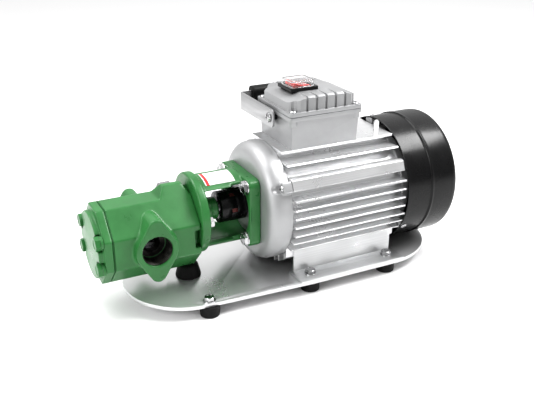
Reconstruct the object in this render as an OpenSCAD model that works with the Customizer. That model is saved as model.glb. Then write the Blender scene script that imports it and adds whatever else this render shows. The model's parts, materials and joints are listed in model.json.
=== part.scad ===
// Fuel transfer pump: a gear pump driven through a lantern bracket by a finned motor on a base plate.
// X runs along the shaft from the pump cover to the fan, and Z is up.
// The origin is on the floor under the middle of the whole pump, with its handle folded back.

/* [Base plate and feet] */
// Thickness of the base plate
plate_t = 4; // [3:0.5:6]
// Half width of the plate beside the motor, which is also the radius of its motor end
plate_r = 75; // [74:1:80]
// Radius of the plate's pump end
plate_nose_r = 69; // [66:1:73]
// Distance from the rear motor bolts to the centre of the plate's motor end
plate_tail = 6; // [2:1:12]
// Height of the rubber feet
foot_h = 12; // [10:1:20]
// Radius of the rubber feet
foot_r = 11; // [9:0.5:12]
// Distance between the motor bolts along the shaft
foot_pitch_x = 100; // [96:1:104]
// Distance between the bolts across the plate
foot_pitch_y = 125; // [122:1:127]
// Distance from the front motor bolts to the pump end's bolts
nose_pitch = 120; // [116:1:124]
// Distance from the housing's front end to the front motor bolts
foot_set = 23; // [20:1:28]

/* [Gear pump] */
// Height of the shaft above the base plate
shaft_h = 74.3; // [73:0.1:78]
// Distance between the two gear shafts
gear_centres = 28; // [27:0.5:29]
// Teeth on each gear
gear_teeth = 12; // [12:1:14]
// Width of the gears
gear_w = 48; // [40:1:50]
// Radius of the pump shafts
pump_shaft_r = 7.5; // [6:0.25:8]
// Half width of the pump's eight-sided casing
casing_half_w = 38.5; // [37:0.5:41]
// Half height of the casing
casing_half_h = 40.6; // [40:0.2:42]
// Width of the slanted sides of the casing, measured level
casing_bevel = 24.5; // [21:0.5:26]
// Length of the casing behind its cover
body_len = 92.4; // [90:0.2:96]
// Thickness of the front cover
cover_t = 9; // [8:0.5:12]
// Height of the raised boss on the cover
boss_t = 5.5; // [5.4:0.1:7]
// Radius of the raised boss on the cover
boss_r = 35.5; // [34:0.5:37]
// Radius of the port bores
port_r = 16; // [14:0.5:16.5]
// Depth of the port bores
port_depth = 22; // [18:0.5:24]
// Distance from the casing's front face to the middle of the ports
port_set = 42.4; // [40:0.2:44]
// Distance of the port faces from the middle plane
port_face = 47.3; // [46:0.1:50]
// Height of the raised relief valve block on the casing
relief_block_h = 10.5; // [9.5:0.5:11.5]
// Length of the relief valve block
relief_block_len = 33; // [30:1:34]
// Opening travel of the relief valve
relief_travel = 3; // [2:0.5:3.5]

/* [Lantern and coupling] */
// Length of the lantern bracket
lantern_len = 68.5; // [66:0.5:74]
// Radius of the lantern's barrel
barrel_r = 40; // [39:0.5:41]
// Wall of the lantern's barrel
barrel_wall = 6; // [5:0.5:7]
// Radius of the lantern's pump flange
lantern_disc_r = 44; // [43:0.5:46]
// Thickness of the lantern's pump flange
lantern_disc_t = 10; // [9:0.5:11]
// Thickness of the lantern's motor flange
lantern_flange_t = 13; // [12:0.5:14]
// Half width of the lantern's motor flange
lantern_flange_half = 38.5; // [38:0.5:41]
// Distance of the lantern's corner bolts from the shaft, across and upward
lantern_bolt = 29.6; // [29:0.1:30]
// Radius of the shaft coupling
coupling_r = 17.5; // [16:0.5:18.5]
// Length of each coupling hub without its jaws
coupling_hub_len = 11; // [10:0.5:12]
// Length of the coupling's jaws
coupling_jaw_len = 7; // [6:0.5:8]

/* [Motor] */
// Length of the motor's front shield
shield_len = 25.5; // [22:0.5:28]
// Radius of the front shield
shield_r = 66.5; // [65:0.5:68]
// Length of the finned housing
house_len = 140; // [138:1:144]
// Radius of the housing's round core
core_r = 59; // [58:0.5:60]
// Radius that the fins reach
fin_r = 70; // [69:0.5:71]
// Thickness of a fin
fin_t = 1.8; // [1.4:0.1:2.4]
// Distance between two fins
fin_pitch = 10; // [9.5:0.5:10]
// Height of the housing's top pad above the shaft
pad_h = 64.8; // [64:0.2:66]
// Half width of the top pad
pad_half = 36; // [35:0.5:38]
// Wall of the housing around the stator
house_wall = 5; // [4:0.5:6]
// Bore radius of the stator
stator_bore_r = 34; // [32:0.5:36]
// Length of the stator core
stator_len = 72; // [64:1:76]
// Radius of the motor shaft in its bearings
motor_shaft_r = 10; // [9:0.25:11]
// Thickness of the foot brackets
bracket_t = 3; // [2.5:0.5:4]
// Distance of the foot brackets' inner faces from the middle plane
bracket_y = 48.7; // [48:0.1:50]
// Distance of the foot brackets' outer edges from the middle plane
bracket_edge = 77; // [75:0.5:79]
// Radius of the fan cowl's front
cowl_r = 72.4; // [72:0.2:74]
// Length of the fan cowl
cowl_len = 68.5; // [66:0.5:72]
// Distance from the finned housing to the fan cowl
cowl_gap = 2; // [1:0.5:3]
// Wall of the fan cowl
cowl_wall = 1.4; // [1:0.1:2]
// Length of the cowl's front section, as far as its step
cowl_step = 31; // [28:1:34]

/* [Switch box and handle] */
// Length of the switch box at its foot
box_l = 79.6; // [76:0.2:82]
// Width of the switch box at its foot
box_w = 72; // [66:0.5:76]
// Height of the switch box
box_h = 36; // [34:0.5:40]
// Wall of the switch box
box_wall = 3; // [2.5:0.5:4]
// Distance from the housing's front end to the box
box_set = 12.2; // [10:0.2:16]
// Width that the box gains on each side from foot to rim
box_flare = 1.4; // [0:0.2:2]
// Height of the raised middle of the lid
lid_h = 15.5; // [14:0.5:17]
// Height of the handle's pivots above the shaft
handle_pivot_h = 92.7; // [91:0.1:94]
// Length of the handle's arms from pivot to bar
handle_reach = 77; // [74:1:80]
// Width of the handle's steel strip
strip_w = 20; // [18:0.5:22]
// Thickness of the handle's steel strip
strip_t = 2; // [1.5:0.5:3]
// Gap between the lid's rim and the handle's arms
handle_gap = 3; // [2.5:0.5:4]
// Angle through which the switch rocker turns
rocker_turn = 24; // [16:1:26]

/* [Hidden] */
$fn = 64;

// Clearances
run_gap = 0.05;
sink = 1;

// Places along the shaft, from the pump cover to the fan cowl
head_proud = 2.4;
total_len = head_proud + boss_t + cover_t + body_len + lantern_len + shield_len + house_len
    + cowl_gap + cowl_len;
x_boss = -total_len / 2 + head_proud;
x_cover = x_boss + boss_t;
x_body = x_cover + cover_t;
x_lantern = x_body + body_len;
x_shield = x_lantern + lantern_len;
x_house = x_shield + shield_len;
x_house_end = x_house + house_len;
x_cowl = x_house_end + cowl_gap;
x_end = x_cowl + cowl_len;

// Heights
plate_top = foot_h + plate_t;
axis_z = plate_top + shaft_h;
pump_z = axis_z - gear_centres / 2;
driven_z = axis_z - gear_centres;
pad_z = axis_z + pad_h;

// Screws and nuts
m6_r = 3;
m6_head_r = 10 / 2 / cos(30);
m6_head_h = 4;
m6_nut_h = 5;
m8_r = 4;
m8_head_r = 13 / 2 / cos(30);
m8_head_h = 5.3;
washer_r = 6.2;
washer_t = 1.2;
cover_seat = head_proud + boss_t - m8_head_h;
m4_r = 2;
m4_head_r = 3.6;
m4_head_h = 2.4;

// Base plate
foot_x2 = x_house + foot_set;
foot_x3 = foot_x2 + foot_pitch_x;
foot_x1 = foot_x2 - nose_pitch;
foot_y = foot_pitch_y / 2;
tail_x = foot_x3 + plate_tail;
nose_x = foot_x1 - 2.5;
taper_a = asin((plate_r - plate_nose_r) / (foot_x2 - nose_x));
foot_places = [for (x = [foot_x1, foot_x2, foot_x3], s = [-1, 1]) [x, s * foot_y]];

support_r = 14;
support_x = x_lantern - 2.5;

// Pump casing
casing_top = casing_half_w - casing_bevel;
chamber_gap = 0.15;
rear_wall = 26.1;
chamber_len = body_len - rear_wall;
block_t = (chamber_len - gear_w) / 2 - chamber_gap;
gear_module = gear_centres / gear_teeth;
gear_tip_r = gear_centres / 2 + gear_module;
chamber_r = gear_tip_r + chamber_gap;
x_gears = x_body + block_t + chamber_gap;
port_x = x_body + port_set;
passage_r = 10;
passage_y = 8;
cover_bolt_y = 31.5;
cover_bolt_dz = 14.5;
cover_washer_r = 7.2;
cover_places = [for (sy = [-1, 1], sz = [-1, 1]) [sy * cover_bolt_y, pump_z + sz * cover_bolt_dz]];
gasket_t = 0.5;
seal_r = 13;
seal_t = 8;
spigot_r = 20;
relief_x2 = x_lantern - 2;
relief_x1 = relief_x2 - relief_block_len;
relief_x = (relief_x1 + relief_x2) / 2 + 2;
relief_z = axis_z + 18;
relief_r = 6;
relief_seat_y = -6;
relief_face_y = casing_half_w + casing_half_h + pump_z - casing_bevel - relief_z;
poppet_len = 9;
relief_hat = 11;
recess_len = 6;
flange_bolt_y = 34;

// Lantern and coupling
x_flange = x_shield - lantern_flange_t;
window_lo = axis_z - 27.8;
window_hi = axis_z + 31;
lantern_places = [for (sy = [-1, 1], sz = [-1, 1]) [sy * lantern_bolt, axis_z + sz * lantern_bolt]];
register_r = 33;
x_coupling = x_lantern + 33.5;
x_spider = x_coupling + coupling_hub_len;
x_hub2 = x_spider + coupling_jaw_len;
coupling_end = x_hub2 + coupling_hub_len;
pump_shaft_end = x_spider - 1;
motor_shaft_start = x_hub2 + 1;
jaw_r = 8.5;
jaw_angle = 44;
coupling_bore_r = 7.5;
screw_flat = 0.6;

// Motor
stator_r = core_r - house_wall;
x_stator = x_house + 32;
rotor_gap = 0.5;
bearing_r = 23.5;
bearing_t = 14;
x_bearing1 = x_shield + 1;
x_bearing2 = x_house_end + 4;
shield_face = x_house_end + 4 + bearing_t;
fan_hub_x = shield_face + 4;
fan_len = 26;
shield_screw_r = 67;
shield_tab_r = 71.5;
shield_tab_t = 11;
shield_tabs = [30, -90, 150];
shield_places = [for (a = shield_tabs) [shield_screw_r * cos(a), axis_z + shield_screw_r * sin(a)]];
fin_root = 40;
facet_lo = 30.3;
facet_hi = 40.7;
web_top = axis_z - 4 * fin_pitch - fin_t / 2;
web_rib_t = 6;

// Switch box and handle
box_x = x_house + box_set + box_l / 2;
box_top = pad_z + box_h;
rim_h = 4;
rim_l = box_l + 2 * box_flare + 5;
rim_w = box_w + 2 * box_flare + 5;
rim_t = 4;
box_gasket_t = 1;
lid_z = box_top + box_gasket_t;
lid_top = lid_z + rim_t + lid_h;
crown_l = rim_l / 2 - 2.5;
crown_w = rim_w / 2 - 2.5;
crown_cut = 11;
crown_slope = 20;
crown_end_h = 9;
crown_edge = 1.5;
groove_t = 1.2;
lug_dx = rim_l / 2 - 5.5;
lug_dy = rim_w / 2 - 5.5;
box_places = [for (sx = [-1, 1], sy = [-1, 1]) [box_x + sx * lug_dx, sy * lug_dy]];
pivot_z = axis_z + handle_pivot_h;
arm_x = rim_l / 2 + handle_gap;
strip_end = 9;
grip_h = 29;
grip_t = 15;
origin_y = (bracket_edge + strip_t + 5.5 - handle_reach - grip_t) / 2;
corner_r = 5;
switch_x = box_x - 14;
switch_l = 33.5;
switch_w = 31.5;
switch_flange = 3.6;
switch_z = lid_top + switch_flange;
rocker_r = 11;
rocker_w = 19;
rocker_z = switch_z - 3;
boot_wall = 1.1;
boot_top = switch_z + 6.8;

// An outline in the Y and Z plane, pushed along X from x0
module along_x(x0, len) {
    translate([x0, 0, 0]) rotate([90, 0, 90]) linear_extrude(len) children();
}

// An outline in the X and Z plane, pushed along Y from y0
module along_y(y0, len) {
    translate([0, y0 + len, 0]) rotate([90, 0, 0]) linear_extrude(len) children();
}

// A round bar along X
module bar_x(x0, len, r, y = 0, z = axis_z) {
    translate([x0, y, z]) rotate([0, 90, 0]) cylinder(h = len, r = r);
}

// A round bar along Y
module bar_y(y0, len, r, x = 0, z = axis_z) {
    translate([x, y0, z]) rotate([-90, 0, 0]) cylinder(h = len, r = r);
}

// A six-sided prism along X
module hex_x(x0, len, r, y, z) {
    translate([x0, y, z]) rotate([0, 90, 0]) cylinder(h = len, r = r, $fn = 6);
}

// A body of revolution about the shaft, from a list of [x, radius] points
module turned(points, z = axis_z) {
    translate([0, 0, z]) rotate([0, 90, 0]) rotate([0, 0, 180])
        rotate_extrude() polygon([for (p = points) [p[1], p[0]]]);
}

// A rectangle with round corners, centred
module round_rect(l, w, r) {
    square([l - 2 * r, w], center = true);
    square([l, w - 2 * r], center = true);
    for (sx = [-1, 1], sy = [-1, 1])
        translate([sx * (l / 2 - r), sy * (w / 2 - r)]) circle(r);
}

// A round middle with a smaller round lobe on each side, joined by their tangents
module lobed(big, small, reach) {
    a = asin((big - small) / reach);
    circle(big);
    for (s = [-1, 1]) translate([0, s * reach]) circle(small);
    polygon([
        [big * cos(a), big * sin(a)], [small * cos(a), reach + small * sin(a)],
        [-small * cos(a), reach + small * sin(a)], [-big * cos(a), big * sin(a)],
        [-big * cos(a), -big * sin(a)], [-small * cos(a), -reach - small * sin(a)],
        [small * cos(a), -reach - small * sin(a)], [big * cos(a), -big * sin(a)]]);
}

// The casing's eight-sided outline about the middle of the two gears
module casing_outline() {
    h = casing_half_h;
    w = casing_half_w;
    b = casing_bevel;
    translate([0, pump_z]) polygon([
        [w, h - b], [w - b, h], [b - w, h], [-w, h - b],
        [-w, b - h], [b - w, -h], [w - b, -h], [w, b - h]]);
}

// Two overlapping circles around the gear shafts
module twin_circles(r) {
    for (z = [axis_z, driven_z]) translate([0, z]) circle(r);
}

// Involute tooth flanks
pressure = 25;
pitch_r = gear_centres / 2;
base_r = pitch_r * cos(pressure);
gear_root_r = pitch_r - 1.2 * gear_module;
backlash = 0.12;
function roll(r) = sqrt(pow(r / base_r, 2) - 1) * 180 / PI;
function inv(r) = roll(r) - atan(sqrt(pow(r / base_r, 2) - 1));
function half_tooth(r) = (90 - backlash / pitch_r * 90 / PI * gear_teeth) / gear_teeth + inv(pitch_r) - inv(max(r, base_r));
flank_r = [gear_root_r, base_r + 0.02, base_r + 0.9, pitch_r, pitch_r + 1.2, gear_tip_r];

module gear_outline(turn) {
    step = 360 / gear_teeth;
    polygon([for (k = [0:gear_teeth - 1], side = [0, 1], i = [0:len(flank_r) - 1])
        let (j = side == 0 ? i : len(flank_r) - 1 - i,
             a = turn + k * step + (side == 0 ? -1 : 1) * half_tooth(flank_r[j]))
        flank_r[j] * [cos(a), sin(a)]]);
}

module base_plate() {
    nose_join = plate_nose_r - 0.02;
    tail_join = plate_r - 0.02;
    color([0.86, 0.87, 0.88]) difference() {
        union() {
            translate([nose_x, 0, foot_h]) cylinder(h = plate_t, r = plate_nose_r, $fn = 128);
            translate([tail_x, 0, foot_h]) cylinder(h = plate_t, r = plate_r, $fn = 128);
            translate([0, 0, foot_h]) linear_extrude(plate_t) polygon([
                [nose_x - nose_join * sin(taper_a), nose_join * cos(taper_a)],
                [foot_x2, tail_join], [tail_x, tail_join], [tail_x, -tail_join], [foot_x2, -tail_join],
                [nose_x - nose_join * sin(taper_a), -nose_join * cos(taper_a)]]);
        }
        for (p = foot_places) translate([p[0], p[1], foot_h - 1]) cylinder(h = plate_t + 2, r = m6_r + 0.3);
    }
}

module rubber_feet() {
    nut_room = m6_nut_h + 3;
    color([0.07, 0.07, 0.07]) for (p = foot_places) translate([p[0], p[1], 0]) difference() {
        cylinder(h = foot_h, r1 = foot_r - 0.6, r2 = foot_r);
        translate([0, 0, -1]) cylinder(h = foot_h + 2, r = m6_r + 0.3);
        translate([0, 0, -1]) cylinder(h = nut_room + 1, r = m6_head_r + 0.9);
    }
}

function bolt_seat(p) = p[0] == foot_x1 ? plate_top : plate_top + bracket_t;

module foot_bolts() {
    color([0.8, 0.8, 0.82]) for (p = foot_places) {
        z = bolt_seat(p) + washer_t;
        translate([p[0], p[1], z]) cylinder(h = m6_head_h, r = m6_head_r, $fn = 6);
        translate([p[0], p[1], 2]) cylinder(h = z - 2 + 0.5, r = m6_r);
    }
}

module foot_washers() {
    color([0.8, 0.8, 0.82]) for (p = foot_places) translate([p[0], p[1], bolt_seat(p)]) difference() {
        cylinder(h = washer_t, r = washer_r);
        translate([0, 0, -1]) cylinder(h = washer_t + 2, r = m6_r + 0.2);
    }
}

module foot_nuts() {
    color([0.75, 0.75, 0.78]) for (p = foot_places) translate([p[0], p[1], 3]) difference() {
        cylinder(h = m6_nut_h, r = m6_head_r, $fn = 6);
        translate([0, 0, -1]) cylinder(h = m6_nut_h + 2, r = m6_r);
    }
}

// Rubber buffer that carries the rear of the pump on the base plate
module pump_support() {
    z1 = plate_top;
    z2 = pump_z - casing_half_h;
    color([0.08, 0.08, 0.08]) translate([support_x, 0, 0]) rotate_extrude()
        polygon([[0, z1], [support_r, z1], [support_r, z1 + 2], [support_r - 3, z2 - 6],
            [support_r - 5, z2 - 4.2],
            [support_r - 7, z2 - 3.5], [support_r - 7, z2], [0, z2]]);
}

// Angle brackets that hang from the housing's foot ribs and are bolted to the base plate
module foot_brackets() {
    y2 = bracket_y + bracket_t;
    x1 = x_house + 4.4;
    len = house_len - 6;
    color([0.83, 0.84, 0.85]) for (s = [-1, 1]) difference() {
        union() {
            along_y(s > 0 ? bracket_y : -y2, bracket_t) polygon([
                [x1 + 4, plate_top], [x1 + 4, web_top], [x1 + len - 10, web_top],
                [x1 + len - 4, web_top - 5], [x1 + len - 4, plate_top]]);
            along_x(x1, len) translate([s > 0 ? bracket_y : -bracket_edge, plate_top])
                square([bracket_edge - bracket_y, bracket_t]);
        }
        for (x = [foot_x2, foot_x3]) translate([x, s * foot_y, plate_top - 1])
            cylinder(h = bracket_t + 2, r = m6_r + 0.3);
    }
}

// Two-lobed port flange on a cone that flares into the casing, on the side s of the middle plane
module port_flange(s) {
    lobe_r = 8.5;
    lobe_reach = 25.8;
    flange_r = 22;
    flare_r = 27;
    flare_y = casing_half_w - 12;
    face_t = 2.5;
    root_y = 18;
    translate([port_x, s * root_y, pump_z]) rotate([-s * 90, 0, 0]) {
        linear_extrude(port_face - root_y) lobed(flange_r, lobe_r, lobe_reach);
        translate([0, 0, flare_y - root_y])
            cylinder(h = port_face - face_t - flare_y, r1 = flare_r, r2 = flange_r);
    }
}

// The raised block over the relief valve carries the casing's slanted sides further up
module relief_block() {
    top_y = casing_top - relief_block_h;
    z0 = pump_z + casing_half_h;
    z1 = z0 + relief_block_h;
    intersection() {
        along_x(relief_x1, relief_block_len) polygon([
            [-casing_top - sink, z0 - sink], [-casing_top, z0], [-top_y, z1], [top_y, z1],
                [casing_top, z0], [casing_top + sink, z0 - sink]]);
        along_y(-casing_half_w, 2 * casing_half_w) polygon([
            [relief_x1, z0 - sink], [relief_x1, z0], [relief_x1 + 7, z1], [relief_x2 - 5, z1],
                [relief_x2, z1 - 8], [relief_x2, z0 - sink]]);
    }
}

module pump_body() {
    color([0.2, 0.55, 0.27]) difference() {
        union() {
            along_x(x_body + gasket_t, body_len - gasket_t) casing_outline();
            relief_block();
            for (s = [-1, 1]) port_flange(s);
            bar_x(x_lantern - sink, lantern_disc_t + sink, spigot_r);
        }
        along_x(x_body, chamber_len) twin_circles(chamber_r);
        for (s = [-1, 1]) {
            bar_y(s > 0 ? port_face - port_depth : -port_face - 1, port_depth + 1, port_r, port_x, pump_z);
            bar_y(s > 0 ? passage_y : -port_face, port_face - passage_y, passage_r, port_x, pump_z);
            recess_y = casing_half_w - 9;
            translate([x_lantern - recess_len, s > 0 ? recess_y : -recess_y - 20, pump_z - 10])
                cube([recess_len + 1, 20, 20]);
        }
        bar_x(x_body, body_len + lantern_disc_t + 1, pump_shaft_r + 0.5);
        bar_x(x_lantern + lantern_disc_t - seal_t, seal_t + 1, seal_r);
        for (p = cover_places) bar_x(x_body - 1, 17, m8_r, p[0], p[1]);
        for (s = [-1, 1]) bar_x(x_lantern - 16, 17, m6_r, s * flange_bolt_y, axis_z);
        bar_y(relief_seat_y, casing_half_w - relief_seat_y, relief_r, relief_x, relief_z);
        bar_y(relief_seat_y - 7, 8, 3.5, relief_x, relief_z);
        bar_y(relief_face_y - 2.5, 30, relief_hat / cos(30) + 0.4, relief_x, relief_z);
    }
}

module cover_gasket() {
    color([0.25, 0.24, 0.22]) difference() {
        along_x(x_body, gasket_t) casing_outline();
        along_x(x_body - 1, gasket_t + 2) twin_circles(chamber_r);
        for (p = cover_places) bar_x(x_body - 1, gasket_t + 2, m8_r, p[0], p[1]);
    }
}

module front_cover() {
    notch_r = m8_head_r + 1;
    bearing_depth = 1;
    color([0.22, 0.57, 0.29]) difference() {
        union() {
            along_x(x_cover, cover_t) casing_outline();
            difference() {
                along_x(x_boss, boss_t + sink) translate([0, pump_z]) circle(boss_r, $fn = 96);
                for (p = cover_places) {
                    bar_x(x_boss - 1, boss_t + 1, notch_r, p[0], p[1]);
                    along_x(x_boss - 1, boss_t + 1)
                        translate([p[0] > 0 ? p[0] : p[0] - 20, p[1] - notch_r]) square([20, 2 * notch_r]);
                }
            }
        }
        for (p = cover_places) bar_x(x_cover - 1, cover_t + 2, m8_r + 0.3, p[0], p[1]);
        for (z = [axis_z, driven_z])
            bar_x(x_body - bearing_depth, bearing_depth + 1, pump_shaft_r + 2, 0, z);
    }
}

module cover_bolts() {
    color([0.2, 0.5, 0.26]) for (p = cover_places) {
        hex_x(x_cover - cover_seat - m8_head_h, m8_head_h + 0.3, m8_head_r, p[0], p[1]);
        bar_x(x_cover - cover_seat, cover_seat, cover_washer_r, p[0], p[1]);
        bar_x(x_cover - 1, cover_t + 14.5, m8_r, p[0], p[1]);
    }
}

// Plate with two shaft bores that fills the gear chamber at one end of the gears
module bearing_block(x0) {
    difference() {
        along_x(x0, block_t) twin_circles(chamber_r - run_gap);
        for (z = [axis_z, driven_z]) bar_x(x0 - 1, block_t + 2, pump_shaft_r + run_gap, 0, z);
    }
}

module front_bearing_block() {
    color([0.72, 0.55, 0.25]) bearing_block(x_body);
}

module rear_bearing_block() {
    color([0.72, 0.55, 0.25]) bearing_block(x_gears + gear_w + chamber_gap);
}

module drive_gear() {
    color([0.6, 0.6, 0.62]) difference() {
        along_x(x_gears, gear_w) translate([0, axis_z]) gear_outline(-90);
        bar_x(x_gears - 1, gear_w + 2, pump_shaft_r);
    }
}

module pump_shaft() {
    color([0.66, 0.66, 0.68]) difference() {
        bar_x(x_body - 0.8, pump_shaft_end - x_body + 0.8, pump_shaft_r);
        translate([x_coupling + 1, -pump_shaft_r, axis_z + pump_shaft_r - screw_flat])
            cube([coupling_hub_len, 2 * pump_shaft_r, pump_shaft_r]);
    }
}

module driven_gear() {
    color([0.6, 0.6, 0.62]) {
        along_x(x_gears, gear_w) translate([0, driven_z]) gear_outline(90 + 180 / gear_teeth);
        bar_x(x_body - 0.8, block_t + chamber_gap + 0.8 + sink, pump_shaft_r, 0, driven_z);
        bar_x(x_gears + gear_w - sink, block_t + chamber_gap + sink, pump_shaft_r, 0, driven_z);
    }
}

module shaft_seal() {
    x0 = x_lantern + lantern_disc_t - seal_t;
    color([0.1, 0.1, 0.1]) turned([
        [x0, pump_shaft_r + run_gap], [x0 + seal_t, pump_shaft_r + run_gap],
            [x0 + seal_t, pump_shaft_r + 1.5],
        [x0 + 2, pump_shaft_r + 2], [x0 + 2, seal_r - 1.5], [x0 + seal_t, seal_r - 1.2],
            [x0 + seal_t, seal_r], [x0, seal_r]]);
}

// Stepped hub that holds the shaft seal and shows through the lantern's windows
module seal_gland() {
    x0 = x_lantern + lantern_disc_t;
    bore = pump_shaft_r + 0.6;
    color([0.18, 0.5, 0.25]) turned([
        [x0, bore], [x0 + 21.5, bore], [x0 + 21.5, 11.5], [x0 + 20.5, 12.5], [x0 + 14, 12.5],
        [x0 + 13, 13.5], [x0 + 7, 13.5], [x0 + 7, 17], [x0 + 6, 18], [x0, 18]]);
}

module relief_poppet() {
    r = relief_r - 0.08;
    y0 = relief_seat_y + run_gap;
    color([0.7, 0.7, 0.72]) {
        bar_y(y0, poppet_len, r, relief_x, relief_z);
        translate([relief_x, y0 - 2.4, relief_z]) rotate([-90, 0, 0])
            cylinder(h = 2.4 + 0.01, r1 = 1.5, r2 = 3.2);
    }
}

relief_cap_y = relief_face_y - 2.5;
spring_y = relief_seat_y + run_gap + poppet_len;
spring_len = relief_cap_y - 4 - spring_y;

// Helical spring between the poppet and the cap, as a stack of rings on a thin sleeve
module relief_spring() {
    turns = 5;
    wire = 0.9;
    pitch = (spring_len - 2 * wire) / (turns - 1);
    color([0.6, 0.6, 0.65]) translate([relief_x, spring_y, relief_z]) rotate([-90, 0, 0]) {
        for (k = [0:turns - 1]) translate([0, 0, wire + k * pitch])
            rotate_extrude() translate([4, 0]) circle(wire, $fn = 16);
        difference() {
            translate([0, 0, wire]) cylinder(h = spring_len - 2 * wire, r = 4.2);
            cylinder(h = spring_len, r = 3.8);
        }
    }
}

module relief_cap() {
    hex_h = 7;
    color([0.75, 0.75, 0.77]) {
        translate([relief_x, relief_cap_y, relief_z]) rotate([-90, 0, 0])
            cylinder(h = hex_h, r = relief_hat / cos(30), $fn = 6);
        bar_y(relief_cap_y - 4, 4.5, relief_r, relief_x, relief_z);
        bar_y(spring_y + relief_travel, spring_len + 0.5 - relief_travel, 3, relief_x, relief_z);
    }
}

module lantern_flange_outline() {
    ear_r = lantern_flange_half - lantern_bolt;
    translate([0, axis_z]) round_rect(2 * lantern_flange_half, 2 * lantern_flange_half, ear_r);
}

module lantern() {
    x_barrel = x_lantern + lantern_disc_t;
    barrel_len = lantern_len - lantern_disc_t - lantern_flange_t;
    edge = 1.5;
    color([0.2, 0.56, 0.27]) difference() {
        union() {
            turned([[x_lantern, 0], [x_lantern, lantern_disc_r - edge], [x_lantern + edge, lantern_disc_r],
                [x_barrel - edge, lantern_disc_r], [x_barrel, lantern_disc_r - edge], [x_barrel, 0]]);
            bar_x(x_barrel - sink, barrel_len + 2 * sink, barrel_r);
            along_x(x_flange, lantern_flange_t) lantern_flange_outline();
        }
        bar_x(x_barrel, lantern_len, barrel_r - barrel_wall);
        bar_x(x_lantern - 1, lantern_disc_t + 2, spigot_r + run_gap);
        along_y(-60, 120) polygon([[x_barrel, window_lo], [x_flange, window_lo], [x_flange, window_hi],
            [x_barrel, window_hi]]);
        for (p = lantern_places) {
            bar_x(x_flange - 1, lantern_flange_t + 2, m8_r + 0.3, p[0], p[1]);
            bar_x(x_flange - 14, 14, m8_head_r + 1.2, p[0], p[1]);
        }
        for (s = [-1, 1]) bar_x(x_lantern - 1, lantern_disc_t + 2, m6_r + 0.3, s * flange_bolt_y, axis_z);
    }
}

module pump_flange_bolts() {
    x1 = x_lantern + lantern_disc_t;
    color([0.82, 0.82, 0.84]) for (s = [-1, 1]) {
        bar_x(x1, washer_t, washer_r, s * flange_bolt_y, axis_z);
        hex_x(x1 + washer_t - 0.01, m6_head_h, m6_head_r, s * flange_bolt_y, axis_z);
        bar_x(x_lantern - 14, 14 + lantern_disc_t + 0.5, m6_r, s * flange_bolt_y, axis_z);
    }
}

module lantern_bolts() {
    color([0.85, 0.85, 0.87]) for (p = lantern_places) {
        hex_x(x_flange - m8_head_h, m8_head_h, m8_head_r, p[0], p[1]);
        bar_x(x_flange - 0.5, lantern_flange_t + 14, m8_r, p[0], p[1]);
    }
}

// Three jaws of the coupling as sectors of a ring
module jaw_sectors(r0, r1, angle, turn) {
    reach = 2 * r1;
    difference() {
        intersection() {
            circle(r1);
            union() for (k = [0:2]) rotate(turn + 120 * k)
                polygon([[0, 0], [reach * cos(angle / 2), -reach * sin(angle / 2)],
                    [reach * cos(angle / 2), reach * sin(angle / 2)]]);
        }
        circle(r0);
    }
}

module coupling_hub(x0, x_jaw, bore, turn) {
    color([0.09, 0.09, 0.1]) difference() {
        union() {
            bar_x(x0, coupling_hub_len, coupling_r);
            along_x(x_jaw, coupling_jaw_len + 0.5) translate([0, axis_z])
                jaw_sectors(jaw_r, coupling_r, jaw_angle, turn);
        }
        bar_x(x0 - 1, coupling_hub_len + 2, bore);
        translate([x0 + coupling_hub_len / 2, 0, axis_z]) cylinder(h = 2 * coupling_r, r = m4_r);
    }
}

module coupling_hub_pump() {
    coupling_hub(x_coupling, x_spider - 0.5, pump_shaft_r, 30);
}

module coupling_hub_motor() {
    coupling_hub(x_hub2, x_spider, coupling_bore_r, 90);
}

// Grub screws that hold the two hubs on their shafts
module coupling_screws() {
    z0 = axis_z + coupling_bore_r;
    z1 = axis_z + coupling_r - 1;
    color([0.3, 0.3, 0.32]) {
        translate([x_coupling + coupling_hub_len / 2, 0, z0 - screw_flat])
            cylinder(h = z1 - z0 + screw_flat, r = m4_r);
        translate([x_hub2 + coupling_hub_len / 2, 0, z0]) cylinder(h = z1 - z0, r = m4_r);
    }
}

// Rubber star whose six legs lie between the jaws
module coupling_spider() {
    leg = 60 - jaw_angle;
    color([0.35, 0.06, 0.05]) along_x(x_spider + 0.5, coupling_jaw_len - 1) translate([0, axis_z]) {
        difference() {
            circle(jaw_r - 0.05);
            circle(4);
        }
        for (t = [0, 60]) jaw_sectors(jaw_r - 1, coupling_r - 0.4, leg - 0.6, t);
    }
}

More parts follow.
